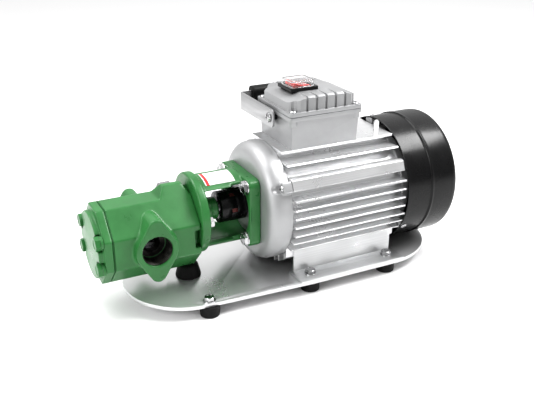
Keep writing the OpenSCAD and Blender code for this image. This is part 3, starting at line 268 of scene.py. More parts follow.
@finish
def clear_cover(tree):
    """Clear soft vinyl, slightly milky and uneven."""
    vector = place(tree)
    return {
        "Base Color": tint(tree, noise(tree, vector, 60, 2), (0.93, 0.93, 0.94), (0.99, 0.99, 0.99)),
        "Roughness": spread(tree, noise(tree, vector, 90, 3), 0.03, 0.1),
        "Normal": relief(tree, noise(tree, vector, 260, 2), 0.3, 0.0001),
        "Transmission Weight": 0.95, "IOR": 1.24}


@finish
def rocker_red(tree, colour):
    """Red lens plastic of the lit rocker."""
    vector = place(tree)
    return {
        "Base Color": tinted(tree, noise(tree, vector, 120, 2), colour, 0.8, 1.2),
        "Normal": relief(tree, noise(tree, vector, 700, 2), 0.2, 0.00004, soft_edge(tree, 0.0005)),
        "Roughness": 0.22, "Transmission Weight": 0.15, "Coat Weight": 0.5, "Coat Roughness": 0.06, "IOR": 1.5}


@finish
def wound_copper(tree, colour):
    """Varnished copper wire wound round the shaft line."""
    wires = bands(tree, 420.0, 1.5)
    return {
        "Base Color": tinted(tree, wires, colour, 0.35, 1.2, 0.1, 0.6),
        "Normal": relief(tree, wires, 0.7, 0.0003),
        "Metallic": 0.8, "Roughness": 0.3, "Coat Weight": 0.6}


@finish
def stacked_sheet(tree, colour):
    """Edges of thin steel sheets stacked along the shaft."""
    edges = bands(tree, 640.0, 0.4)
    return {
        "Base Color": tinted(tree, edges, colour, 0.6, 1.1, 0.2, 0.6),
        "Normal": relief(tree, edges, 0.5, 0.00015),
        "Metallic": 0.9, "Roughness": 0.42}


@finish
def mirror_plate(tree, colour):
    """Bright rolled plate: near-mirror, with faint rolling lines and handling marks."""
    lines = noise(tree, place(tree, (5, 420, 420)), 1.0, 2)
    smears = noise(tree, place(tree), 16, 5)
    return {
        "Base Color": tinted(tree, smears, colour, 0.94, 1.0),
        "Roughness": spread(tree, smears, 0.26, 0.36),
        "Normal": relief(tree, lines, 0.12, 0.00001, soft_edge(tree, 0.0005)),
        "Metallic": 0.78}


@finish
def label_film(tree, band_start, band_end):
    """White label film with a red band between two places along the shaft line."""
    blur = 0.0002
    vector = place(tree)
    along = add(tree, "ShaderNodeSeparateXYZ", Vector=vector).outputs["X"]
    past_start, past_end = (
        spread(tree, along, 0.0, 1.0, edge, edge + blur) for edge in (band_start, band_end))
    band = calc(tree, "SUBTRACT", past_start, past_end)
    return {
        "Base Color": tint(tree, band, (0.8, 0.8, 0.79), (0.6, 0.015, 0.015), 0.45, 0.55),
        "Normal": relief(tree, noise(tree, vector, 500, 2), 0.1, 0.00003),
        "Roughness": 0.3, "Coat Weight": 0.3}


@finish
def iron_with_painted_shade(tree):
    """Cut iron with an oily sheen, its near-black colour partly the iron's own and partly painted shade deep in the
    port bores.
    """
    vector = place(tree)
    stains = noise(tree, vector, 150, 4)
    return {
        "Base Color": tint(tree, stains, (0.012, 0.012, 0.011), (0.07, 0.068, 0.06)),
        "Roughness": spread(tree, stains, 0.28, 0.55),
        "Normal": relief(tree, noise(tree, vector, 900, 3), 0.3, 0.00004),
        "Metallic": 0.7}


@finish
def housing_extrusion(tree, colour):
    """Extruded aluminium under clear lacquer, with draw lines along the fins and a painted highlight that makes
    patches of its broken edges brighter.
    """
    lines = noise(tree, place(tree, (5, 700, 700)), 1.0, 3)
    clouds = noise(tree, place(tree), 26, 4)
    ground = tinted(tree, lines, colour, 0.9, 1.06)
    return {
        # Painted highlight: patches of the broken edges lightened to a brighter colour
        "Base Color": with_edge_highlight(tree, ground, 0.0009, spread(tree, clouds, 0.35, 0.9), scaled(colour, 1.25)),
        "Roughness": spread(tree, clouds, 0.24, 0.38),
        "Normal": relief(tree, lines, 0.25, 0.00003, soft_edge(tree, 0.0006)),
        "Metallic": 0.8}


@finish
def studio_paper(tree):
    """Plain pale paper."""
    return {"Base Color": (0.82, 0.82, 0.82, 1), "Roughness": 0.85}


def finish_for(slot_name):
    """The material of one of the record's slots, or of a name that stands beside them."""
    look = bpy.context.scene.pump_look
    maker, name, values = {
        "green_enamel": (enamel, "Green_Enamel", {"colour": look.green}),
        "cast_silver": (cast_metal, "Cast_Silver", {"colour": look.silver, "metallic": 0.6, "rough": 0.46}),
        "box_paint": (cast_metal, "Box_Lacquer", {
            "colour": look.box_colour, "metallic": 0.55, "rough": 0.4, "grain": 1300, "edge": 0.0006}),
        "black_paint": (enamel, "Black_Lacquer", {
            "colour": look.black, "rough": 0.25, "grain": 700, "depth": 0.00002, "edge": 0.0005, "coat": 0.14,
            "gloss": 0.22}),
        "plate_steel": (mirror_plate, "Bright_Plate", {"colour": (0.77, 0.77, 0.775)}),
        "zinc": (drawn_metal, "Bright_Zinc", {
            "colour": (0.5, 0.5, 0.505), "rough": 0.17, "metallic": 1.0, "depth": 0.00001}),
        "ground_steel": (turned_metal, "Ground_Steel", {"colour": (0.55, 0.55, 0.57)}),
        "bronze": (turned_metal, "Bearing_Bronze", {"colour": (0.6, 0.4, 0.18), "rough": 0.32}),
        "copper": (wound_copper, "Wound_Copper", {"colour": (0.62, 0.25, 0.09)}),
        "lamination": (stacked_sheet, "Stacked_Sheet", {"colour": (0.3, 0.3, 0.32)}),
        "black_rubber": (moulded, "Black_Rubber", {"colour": (0.008, 0.008, 0.008), "gloss": 0.2}),
        "red_rubber": (moulded, "Red_Rubber", {"colour": (0.09, 0.016, 0.014), "rough": 0.55}),
        "black_plastic": (moulded, "Black_Plastic", {
            "colour": (0.007, 0.007, 0.0075), "rough": 0.34, "grain": 1200, "depth": 0.00003, "coat": 0.1,
            "gloss": 0.25}),
        "pale_plastic": (moulded, "Pale_Plastic", {
            "colour": (0.68, 0.68, 0.64), "rough": 0.35, "depth": 0.00003, "edge": 0.0005, "coat": 0.2}),
        "red_plastic": (rocker_red, "Rocker_Red", {"colour": (0.75, 0.02, 0.015)}),
        "clear_vinyl": (clear_cover, "Clear_Vinyl", {}),
        "fibre": (moulded, "Gasket_Fibre", {"colour": (0.028, 0.13, 0.04), "rough": 0.8}),
        "housing": (housing_extrusion, "Housing_Extrusion", {"colour": look.extrusion}),
        "box_seal": (moulded, "Grey_Seal", {"colour": (0.16, 0.165, 0.17), "rough": 0.6}),
        "spring_wire": (drawn_metal, "Spring_Wire", {"colour": (0.3, 0.3, 0.31), "along": "Y", "rough": 0.28}),
        "handle_strip": (drawn_metal, "Handle_Strip", {"colour": (0.42, 0.42, 0.425), "along": "Y", "rough": 0.36}),
        "bracket_sheet": (drawn_metal, "Bracket_Sheet", {
            "colour": (0.68, 0.685, 0.69), "rough": 0.34, "depth": 0.000006}),
        "mark_white": (moulded, "Mark_White", {"colour": (0.8, 0.8, 0.8), "rough": 0.4}),
        "iron": (iron_with_painted_shade, "Bare_Iron", {}),
    }[slot_name]
    return maker(name, **values)


# ---------------------------------------------------------------- mesh helpers

def keep(obj, body, slot_name, material, *replaced):
    """Gives a finished piece its material and body, and hides the nodes that it stands for; the slot name is not
    used.
    """
    obj.data.materials.clear()
    obj.data.materials.append(material)
    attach(obj, body)
    if replaced:
        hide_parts(*replaced)
    return obj


def link(name, data):
    """A new object with the given data, in the scene."""
    obj = bpy.data.objects.new(name, data)
    bpy.context.scene.collection.objects.link(obj)
    return obj


def from_bmesh(name, bm, smooth=True):
    """Ends a bmesh as a new object."""
    mesh = bpy.data.meshes.new(name)
    bm.to_mesh(mesh)
    bm.free()
    for poly in mesh.polygons:
        poly.use_smooth = smooth
    return link(name, mesh)


def outward(name, bm, smooth=True):
    """Ends a bmesh as a new object whose faces look outwards."""
    bmesh.ops.recalc_face_normals(bm, faces=bm.faces)
    return from_bmesh(name, bm, smooth)


def angles(count):
    """Even angles round a full turn."""
    return [math.tau * k / count for k in range(count)]


def bridge(bm, near, far):
    """Faces between two closed loops with the same number of points."""
    for k in range(len(near)):
        j = (k + 1) % len(near)
        bm.faces.new((near[k], near[j], far[j], far[k]))


def settle(obj):
    """Replaces an object's modifiers by their result."""
    depsgraph = bpy.context.evaluated_depsgraph_get()
    mesh = bpy.data.meshes.new_from_object(obj.evaluated_get(depsgraph))
    obj.modifiers.clear()
    old = obj.data
    obj.data = mesh
    bpy.data.meshes.remove(old)
    return obj


def modified(obj, kind, **values):
    """Runs one modifier on an object and keeps its result."""
    modifier = obj.modifiers.new(kind.title(), kind)
    for key, value in values.items():
        setattr(modifier, key, value)
    return settle(obj)


def merged_copy(node, name):
    """A copy of a CAD node with its doubled points merged."""
    bm = bmesh.new()
    bm.from_mesh(NODES[node].data)
    bmesh.ops.remove_doubles(bm, verts=bm.verts, dist=WELD)
    return from_bmesh(name, bm)


def cast_copy(node, name, voxel, rounds):
    """A copy of a CAD node as a casting: remeshed finely, with every edge and corner softened."""
    obj = merged_copy(node, name)
    modified(obj, "REMESH", mode="VOXEL", voxel_size=voxel, use_smooth_shade=True)
    return modified(obj, "SMOOTH", factor=0.5, iterations=rounds)


def bevel_copy(node, name, width, segments=2, angle=35, cutter=None):
    """A copy of a CAD node as a machined or bent piece: carved, its flat faces merged, and its edges broken."""
    obj = merged_copy(node, name)
    if cutter:
        modified(obj, "BOOLEAN", operation="DIFFERENCE", solver="EXACT", object=cutter)
        bpy.data.objects.remove(cutter)
    bm = bmesh.new()
    bm.from_mesh(obj.data)
    bmesh.ops.dissolve_limit(bm, angle_limit=math.radians(0.4), verts=bm.verts, edges=bm.edges)
    bm.to_mesh(obj.data)
    bm.free()
    modified(obj, "BEVEL", width=width, segments=segments, limit_method="ANGLE", angle_limit=math.radians(angle),
             harden_normals=False, use_clamp_overlap=True)
    return smooth_by_angle(obj, 40)


def smooth_by_angle(obj, degrees):
    """Smooth shading that keeps edges sharper than the angle."""
    obj.data.shade_smooth()
    bm = bmesh.new()
    bm.from_mesh(obj.data)
    limit = math.radians(degrees)
    for edge in bm.edges:
        edge.smooth = len(edge.link_faces) == 2 and edge.calc_face_angle(0) < limit
    bm.to_mesh(obj.data)
    bm.free()
    return obj


def revolved(name, profile, segments, centre=(SHAFT_Y, SHAFT_Z)):
    """A surface of revolution about a line along X, from (x, radius) points; a zero radius closes it."""
    mid_y, mid_z = centre
    bm = bmesh.new()
    rings = []
    for x, r in profile:
        turns = angles(segments) if r > WELD else [0.0]
        rings.append([bm.verts.new((x, mid_y + r * math.cos(a), mid_z + r * math.sin(a))) for a in turns])
    for near, far in zip(rings, rings[1:]):
        if len(near) == len(far):
            bridge(bm, near, far)
            continue
        for k in range(segments):
            j = (k + 1) % segments
            if len(near) == 1:
                bm.faces.new((near[0], far[j], far[k]))
            else:
                bm.faces.new((near[k], near[j], far[0]))
    bmesh.ops.remove_doubles(bm, verts=bm.verts, dist=WELD / 10)
    return outward(name, bm)


def rounded(points, radius, steps):
    """An open line of points with its inner corners rounded."""
    out = [Vector(points[0])]
    for before, at, after in zip(points, points[1:], points[2:]):
        at, a, b = Vector(at), Vector(before), Vector(after)
        u, v = (a - at), (b - at)
        cut = min(radius, u.length * 0.49, v.length * 0.49)
        start, end = at + u.normalized() * cut, at + v.normalized() * cut
        for i in range(steps + 1):
            t = i / steps
            out.append(start.lerp(at, t).lerp(at.lerp(end, t), t))
    out.append(Vector(points[-1]))
    return out


# ---------------------------------------------------------------- node trees

def lifted(tree, geometry, height):
    """The geometry moved up by a height."""
    up = add(tree, "ShaderNodeCombineXYZ", Z=height).outputs["Vector"]
    return add(tree, "GeometryNodeTransform", Geometry=geometry, Translation=up).outputs["Geometry"]


def cylinder_in(tree, sides, radius, depth):
    """A closed cylinder standing on the level zero."""
    node = add(tree, "GeometryNodeMeshCylinder", Vertices=sides, Radius=radius, Depth=depth)
    return lifted(tree, node.outputs["Mesh"], calc(tree, "MULTIPLY", depth, 0.5))


def combined(tree, operation, first, *others):
    """The solids' overlap or difference."""
    node = add(tree, "GeometryNodeMeshBoolean", solver="EXACT", operation=operation)
    if operation == "DIFFERENCE":
        tree.links.new(first, node.inputs["Mesh 1"])
        solids = others
    else:
        solids = (first, *others)
    for solid in solids:
        tree.links.new(solid, node.inputs["Mesh 2"])
    return node.outputs["Mesh"]


def joined(tree, *parts):
    """Several geometries as one."""
    node = add(tree, "GeometryNodeJoinGeometry")
    for part in parts:
        tree.links.new(part, node.inputs["Geometry"])
    return node.outputs["Geometry"]


def stood(tree, given, head):
    """The head on every seat point, turned to its aim, as plain geometry with the given material."""
    points = add(tree, "GeometryNodeMeshToPoints", Mesh=given["Geometry"])
    aim = add(tree, "GeometryNodeInputNamedAttribute", data_type="FLOAT_VECTOR", Name="aim")
    turn = add(tree, "GeometryNodeInputNamedAttribute", data_type="FLOAT", Name="turn")
    align = add(tree, "FunctionNodeAlignRotationToVector", axis="Z", Vector=aim.outputs["Attribute"])
    spin = add(tree, "FunctionNodeAxisAngleToRotation", Axis=(0, 0, 1), Angle=turn.outputs["Attribute"])
    both = add(tree, "FunctionNodeRotateRotation", rotation_space="LOCAL",
               Rotation=align.outputs["Rotation"], Rotate_By=spin.outputs["Rotation"])
    stand = add(tree, "GeometryNodeInstanceOnPoints", Points=points.outputs["Points"], Instance=head,
                Rotation=both.outputs["Rotation"])
    real = add(tree, "GeometryNodeRealizeInstances", Geometry=stand.outputs["Instances"])
    paint = add(tree, "GeometryNodeSetMaterial", Geometry=real.outputs["Geometry"], Material=given["Material"])
    return paint.outputs["Geometry"]


def grower(name, **inputs):
    """Turns a function that shapes one head into one that returns the named tree of such heads, made once."""
    def wrap(shape):
        @functools.wraps(shape)
        def tree_of():
            tree = bpy.data.node_groups.get(name)
            if tree:
                return tree
            tree = bpy.data.node_groups.new(name, "GeometryNodeTree")
            tree.is_modifier = True
            tree.interface.new_socket("Geometry", in_out="INPUT", socket_type="NodeSocketGeometry")
            for key, value in inputs.items():
                item = tree.interface.new_socket(
                    key.replace("_", " "), in_out="INPUT", socket_type="NodeSocketFloat")
                item.default_value = value
            tree.interface.new_socket("Material", in_out="INPUT", socket_type="NodeSocketMaterial")
            tree.interface.new_socket("Geometry", in_out="OUTPUT", socket_type="NodeSocketGeometry")
            given = tree.nodes.new("NodeGroupInput").outputs
            add(tree, "NodeGroupOutput", Geometry=stood(tree, given, shape(tree, given)))
            return tree
        return tree_of
    return wrap


@grower("Hex_Heads", Across_Flats=0.013, Head_Height=0.0053, Washer_Radius=0.0, Washer_Height=0.0)
def hex_head_tree(tree, given):
    """A chamfered hexagon head with a shallow dish, on its washer."""
    dish_depth, cutter = 0.00035, 0.002
    flats, height, w_height = given["Across Flats"], given["Head Height"], given["Washer Height"]
    prism = cylinder_in(tree, 6, calc(tree, "DIVIDE", flats, math.sqrt(3)), height)
    rim = calc(tree, "MULTIPLY", flats, 0.48)
    cone = add(tree, "GeometryNodeMeshCone", Vertices=48,
               Radius_Top=calc(tree, "SUBTRACT", rim, calc(tree, "MULTIPLY", height, 0.34)),
               Radius_Bottom=calc(tree, "ADD", rim, calc(tree, "MULTIPLY", height, 3.4)),
               Depth=calc(tree, "MULTIPLY", height, 2.2))
    chamfer = lifted(tree, cone.outputs["Mesh"], calc(tree, "MULTIPLY", height, -1.0))
    dish = lifted(tree, cylinder_in(tree, 32, calc(tree, "MULTIPLY", flats, 0.36), cutter),
                  calc(tree, "SUBTRACT", height, dish_depth))
    head = combined(tree, "DIFFERENCE", combined(tree, "INTERSECT", prism, chamfer), dish)
    return joined(tree, cylinder_in(tree, 40, given["Washer Radius"], w_height), lifted(tree, head, w_height))


@grower("Pan_Heads", Head_Radius=0.0036, Head_Height=0.0024, Slot_Width=0.0009)
def pan_head_tree(tree, given):
    """A low domed head with a cross recess."""
    radius, height = given["Head Radius"], given["Head Height"]
    drum = cylinder_in(tree, 40, radius, calc(tree, "MULTIPLY", height, 1.3))
    squares = calc(tree, "ADD", calc(tree, "MULTIPLY", radius, radius), calc(tree, "MULTIPLY", height, height))
    big = calc(tree, "DIVIDE", squares, calc(tree, "MULTIPLY", height, 1.5))
    ball = add(tree, "GeometryNodeMeshUVSphere", Segments=40, Rings=40, Radius=big)
    dome = combined(tree, "INTERSECT", drum, lifted(tree, ball.outputs["Mesh"], calc(tree, "SUBTRACT", height, big)))
    slots = []
    for long_axis, short_axis in ("XY", "YX"):
        size = add(tree, "ShaderNodeCombineXYZ", Z=height, **{
            long_axis: calc(tree, "MULTIPLY", radius, 1.25), short_axis: given["Slot Width"]})
        cube = add(tree, "GeometryNodeMeshCube", Size=size.outputs["Vector"])
        slots.append(lifted(tree, cube.outputs["Mesh"], height))
    return combined(tree, "DIFFERENCE", dome, *slots)


@grower("Fan_Blades", Inner_Radius=0.016, Outer_Radius=0.06, Width=0.021, Thickness=0.0018, Lean=0.004)
def fan_blade_tree(tree, given):
    """A bent fan blade that reaches out from the shaft line."""
    inner, width = given["Inner Radius"], given["Width"]
    reach = calc(tree, "SUBTRACT", given["Outer Radius"], inner)
    grid = add(tree, "GeometryNodeMeshGrid", Vertices_X=9, Vertices_Y=7, Size_X=reach, Size_Y=width)
    at = add(tree, "ShaderNodeSeparateXYZ", Vector=add(tree, "GeometryNodeInputPosition").outputs["Position"]).outputs
    half = calc(tree, "MULTIPLY", reach, 0.5)
    share = calc(tree, "DIVIDE", at["X"], half)
    spot = add(tree, "ShaderNodeCombineXYZ",
               X=calc(tree, "ADD", calc(tree, "ADD", at["X"], half), inner),
               Y=calc(tree, "MULTIPLY", calc(tree, "MULTIPLY", share, share), given["Lean"]),
               Z=calc(tree, "ADD", at["Y"], calc(tree, "MULTIPLY", width, 0.5)))
    bend = add(tree, "GeometryNodeSetPosition", Geometry=grid.outputs["Mesh"], Position=spot.outputs["Vector"])
    bent = bend.outputs["Geometry"]
    push = add(tree, "GeometryNodeExtrudeMesh", Mesh=bent, Offset_Scale=given["Thickness"], Individual=False)
    back = add(tree, "GeometryNodeFlipFaces", Mesh=bent)
    both = joined(tree, push.outputs["Mesh"], back.outputs["Mesh"])
    return add(tree, "GeometryNodeMergeByDistance", Geometry=both, Distance=WELD).outputs["Geometry"]


def grown(name, tree, seats, **values):
    """Runs a tree on seat points, each (point, aim, turn), and returns the plain mesh as an object."""
    mesh = bpy.data.meshes.new(name)
    mesh.from_pydata([tuple(seat[0]) for seat in seats], [], [])
    mesh.attributes.new("aim", "FLOAT_VECTOR", "POINT")
    mesh.attributes.new("turn", "FLOAT", "POINT")
    for i, (_, aim, turn) in enumerate(seats):
        mesh.attributes["aim"].data[i].vector = aim
        mesh.attributes["turn"].data[i].value = turn
    obj = link(name, mesh)
    modifier = obj.modifiers.new("Grow", "NODES")
    modifier.node_group = tree
    for item in tree.interface.items_tree:
        key = item.name.replace(" ", "_")
        if item.item_type == "SOCKET" and item.in_out == "INPUT" and key in values:
            modifier[item.identifier] = values[key]
    return settle(obj)


# ---------------------------------------------------------------- settings

def colour_setting(name, description, default):
    """A colour in linear values."""
    return FloatVectorProperty(
        name=name, description=description, subtype="COLOR", size=3, min=0, max=1, default=default)


class PumpLook(bpy.types.PropertyGroup):
    """Colours of the pump's main finishes."""

    green: colour_setting("Enamel", "Colour of the enamel on the pump and lantern", (0.03, 0.155, 0.041))
    silver: colour_setting("Cast silver", "Colour of the motor's end shields", (0.42, 0.422, 0.427))
    extrusion: colour_setting("Extrusion", "Colour of the motor's finned housing", (0.77, 0.772, 0.778))
    box_colour: colour_setting("Box", "Colour of the switch box and its lid", (0.355, 0.357, 0.362))
    black: colour_setting("Black lacquer", "Colour of the fan cowl and coupling", (0.004, 0.004, 0.0043))


class PumpCasting(bpy.types.PropertyGroup):
    """Fineness of the cast forms."""

    skin: FloatProperty(
        name="Skin", description="Size of the faces that a casting's skin is made of",
        subtype="DISTANCE", unit="LENGTH", min=0.0005, max=0.003, default=0.0009, precision=4)
    rounds: IntProperty(
        name="Softening", description="How often a casting's edges are softened", min=0, max=12, default=4)


class PumpStudio(bpy.types.PropertyGroup):
    """Camera and lights."""

    lens: FloatProperty(
        name="Lens", description="Focal length of the camera in millimetres", min=20, max=120, default=50.55)
    sky: FloatProperty(
        name="Sky", description="Strength of the even studio light", min=0, max=3, default=0.95)


# ---------------------------------------------------------------- studio

def studio_camera(look):
    """Camera at the photograph's angle."""
    under_shaft = Vector((0.0012, SHAFT_Y, 0))
    stand, aim = Vector((-0.3497, -0.6916, 0.4205)) + under_shaft, Vector((-0.0039, 0.0, 0.0867)) + under_shaft
    data = bpy.data.cameras.new("Camera")
    data.lens, data.sensor_width, data.clip_end = look.lens, 36, 20
    camera = link("Camera", data)
    camera.location = stand
    camera.rotation_euler = (aim - stand).to_track_quat("-Z", "Y").to_euler()
    bpy.context.scene.camera = camera


def studio_light(name, place_at, aim_at, size, power):
    """A soft square light."""
    data = bpy.data.lights.new(name, "AREA")
    data.shape = "SQUARE"
    data.size = size
    data.energy = power
    lamp = link(name, data)
    lamp.location = place_at
    lamp.rotation_euler = (Vector(aim_at) - Vector(place_at)).to_track_quat("-Z", "Y").to_euler()


class PUMP_OT_studio(bpy.types.Operator):
    """Set up the pale floor, the soft lights and the camera"""

    bl_idname = "pump.studio"
    bl_label = "Studio"

    def execute(self, context):
        look = context.scene.pump_studio
        bm = bmesh.new()
        bmesh.ops.create_grid(bm, x_segments=1, y_segments=1, size=6)
        floor = from_bmesh("Studio_Floor", bm, False)
        floor.data.materials.append(studio_paper("Studio_Paper"))
        world = bpy.data.worlds.new("Studio_World")
        world.use_nodes = True
        tree = world.node_tree
        direction = add(tree, "ShaderNodeTexCoord").outputs["Generated"]
        parts = add(tree, "ShaderNodeSeparateXYZ", Vector=direction).outputs
        tent = spread(tree, parts["Z"], look.sky * 0.6, look.sky * 1.14, 0.05, 0.7)
        near = spread(tree, parts["Y"], 0.5, 1.0, -0.9, 0.1)
        background = tree.nodes["Background"].inputs
        feed(tree, calc(tree, "MULTIPLY", tent, near), background["Strength"])
        feed(tree, (1, 1, 1, 1), background["Color"])
        context.scene.world = world
        context.scene.view_settings.view_transform = "Standard"
        context.scene.view_settings.look = "Medium High Contrast"
        studio_light("Key_Light", (-0.5, 0.4, 1.2), (0, 0, 0.1), 0.7, 8)
        studio_light("Side_Light", (-1.15, -0.35, 0.7), (0, 0, 0.1), 0.6, 5.6)
        studio_light("Rear_Light", (0.76, -0.26, 1.2), (0.1, 0, 0.12), 0.6, 18)
        studio_camera(look)
        return {"FINISHED"}


class PUMP_OT_finishes(bpy.types.Operator):
    """Give every CAD node the finish of its slot"""

    bl_idname = "pump.finishes"
    bl_label = "Finishes"

    def execute(self, context):
        own = {"motor_housing": "housing", "box_gasket": "box_seal"}
        for name, node in NODES.items():
            node.data.materials.clear()
            node.data.materials.append(finish_for(own.get(name, SLOT_OF[name])))
        return {"FINISHED"}


# ---------------------------------------------------------------- pieces

def seats_of(node, low_end, axis):
    """Seat points of a fastener node, sorted by place: each solid's middle, on its low or high end along an axis."""
    turn_step, decimals = 0.35, 5
    bm = bmesh.new()
    bm.from_mesh(NODES[node].data)
    bmesh.ops.remove_doubles(bm, verts=bm.verts, dist=WELD)
    left = set(bm.verts)
    points = []
    while left:
        start = left.pop()
        group, todo = [start], [start]
        while todo:
            for edge in todo.pop().link_edges:
                for vert in edge.verts:
                    if vert in left:
                        left.discard(vert)
                        group.append(vert)
                        todo.append(vert)
        low, high = (Vector([end(v.co[i] for v in group) for i in range(3)]) for end in (min, max))
        point = (low + high) / 2
        point[axis] = (low if low_end else high)[axis]
        points.append(point)
    bm.free()
    # A set gives up its solids in any order, so the points are sorted before the turns are dealt out.
    points.sort(key=lambda point: [round(value, decimals) for value in point])
    aim = Vector((0, 0, 0))
    aim[axis] = -1 if low_end else 1
    return [(point, aim, turn_step * k) for k, point in enumerate(points)]


def head_seats(node, low_end, axis, height):
    """Seats under the heads of a node whose heads have the given height."""
    return [(point - aim * height, aim, spin) for point, aim, spin in seats_of(node, low_end, axis)]


def dressed(node, piece, slot_name=None, body=FRAME, look=None):
    """Keeps a piece in the place of one CAD node, with its slot's finish unless another is named."""
    slot_name = slot_name or SLOT_OF[node]
    return keep(piece, body, slot_name, finish_for(look or slot_name), node)


class PUMP_OT_castings(bpy.types.Operator):
    """Make the pump's green castings with softened edges"""

    bl_idname = "pump.castings"
    bl_label = "Pump Castings"

    def execute(self, context):
        look = context.scene.pump_casting
        for node, name in (("pump_body", "Pump_Body"), ("front_cover", "Pump_Cover"), ("lantern", "Lantern"),
                           ("seal_gland", "Seal_Gland")):
            dressed(node, cast_copy(node, name, look.skin, look.rounds))
        return {"FINISHED"}


class PUMP_OT_port_threads(bpy.types.Operator):
    """Cut the pipe thread into each port as an iron lining, dark partly as painted shade in the bore"""

    bl_idname = "pump.port_threads"
    bl_label = "Port Threads"

    def execute(self, context):
        segments, per_turn = 96, 8
        pitch, lead_in, thread_length = 0.00231, 0.0014, 0.0175
        wall_r, crest_r, ridge = 0.0161, 0.01525, 0.00065
        seat_depth, bore_depth, bore_r, skin = 0.0208, 0.031, 0.0096, 0.0006
        steps = int(thread_length / pitch * per_turn)
        last = lead_in + pitch * steps / per_turn
        thread = [(lead_in + pitch * i / per_turn, i / per_turn) for i in range(steps + 1)]
        # The plain rings, as (depth, radius): the mouth before the thread, and the bottom and the bore after it.
        mouth_ring = (lead_in, wall_r)
        inner_rings = [(last + 0.0002, 0.0156), (seat_depth, 0.0156), (seat_depth, bore_r), (bore_depth, bore_r),
                       (bore_depth, bore_r + skin), (seat_depth + lead_in, bore_r + skin),
                       (seat_depth + lead_in, wall_r)]

        def radius_at(phase, share):
            saw = abs(((phase + share) % 1.0) * 2 - 1)
            return crest_r + ridge * min(1.0, max(0.0, saw * 1.3 - 0.15))

        for mount in frame["record"]["mounts"]:
            if mount["kind"] != "threaded_hole":
                continue
            mouth, out = Vector(mount["pos_m"]), Vector(mount["axis"])
            bm = bmesh.new()

            def row(depth, radii):
                return [bm.verts.new(mouth - out * depth + Vector((r * math.cos(a), 0, r * math.sin(a))))
                        for a, r in zip(angles(segments), radii)]

            rows = [row(mouth_ring[0], [mouth_ring[1]] * segments)]
            rows += [row(depth, [radius_at(phase, k / segments) for k in range(segments)]) for depth, phase in thread]
            rows += [row(depth, [r] * segments) for depth, r in inner_rings]
            for near, far in zip(rows, rows[1:] + rows[:1]):
                bridge(bm, near, far)
            lining = smooth_by_angle(outward("Thread_" + mount["name"], bm), 35)
            # The near-black iron lining is partly painted shade deep in the bore
            keep(lining, FRAME, "ground_steel", finish_for("iron"))
        return {"FINISHED"}


class PUMP_OT_motor_castings(bpy.types.Operator):
    """Make the motor's two end shields with softened edges"""

    bl_idname = "pump.motor_castings"
    bl_label = "Motor Shields"

    def execute(self, context):
        look = context.scene.pump_casting
        coarser = 1.15
        for node, name in (("front_shield", "Front_Shield"), ("rear_shield", "Rear_Shield")):
            dressed(node, cast_copy(node, name, look.skin * coarser, look.rounds))
        return {"FINISHED"}


class PUMP_OT_box(bpy.types.Operator):
    """Make the die-cast switch box and its ribbed lid"""

    bl_idname = "pump.box"
    bl_label = "Switch Box"

    def execute(self, context):
        deep, wide, pitch, clear = 0.0022, 0.0027, 0.0115, 0.001
        rim_height, rim_reach = 0.004, 0.0025
        low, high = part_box("box_lid")
        middle = (low + high) / 2
        foot, top, half = low.z + rim_height, high.z, (high.y - low.y) / 2 - rim_reach
        # A groove's section, as (out from the middle, up) points: up the lid's side, over its shoulder, and back.
        outline = [(half + clear, foot), (half - deep, foot), (half - deep, top - 0.0034),
                   (half - 0.0052, top - 0.0016), (half - 0.019, top - 0.0003), (half - 0.021, top + clear),
                   (half + clear, top + clear)]
        bm = bmesh.new()
        for k in range(-2, 3):
            for side in (-1, 1):
                rows = [[bm.verts.new((middle.x + k * pitch + end * wide / 2, middle.y + side * y, z))
                         for y, z in outline] for end in (-1, 1)]
                for row in rows:
                    bm.faces.new(row)
                bridge(bm, *rows)
        grooves = outward("Lid_Grooves", bm, False)
        for node, name, cutter in (("switch_box", "Switch_Box", None), ("box_lid", "Box_Lid", grooves)):
            dressed(node, bevel_copy(node, name, 0.0006, 3, 25, cutter))
        return {"FINISHED"}


class PUMP_OT_fittings(bpy.types.Operator):
    """Make the relief valve's cap, the cable gland, the coupling's grub screws and the cowl's tab"""

    bl_idname = "pump.fittings"
    bl_label = "Small Fittings"

    def execute(self, context):
        broken_edge, pin_end, shorter = 0.0003, 0.0004, 0.00015
        cap = bevel_copy("relief_cap", "Relief_Cap", broken_edge)
        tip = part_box("relief_cap")[0].y
        for vertex in cap.data.vertices:
            if vertex.co.y < tip + pin_end:
                vertex.co.y += shorter
        dressed("relief_cap", cap)
        dressed("cable_gland", bevel_copy("cable_gland", "Cable_Gland", broken_edge))
        dressed("coupling_screws", bevel_copy("coupling_screws", "Grub_Screws", broken_edge), body=SHAFT_LINE)
        dressed("cowl_tab", bevel_copy("cowl_tab", "Cowl_Tab", broken_edge), look="housing")
        return {"FINISHED"}


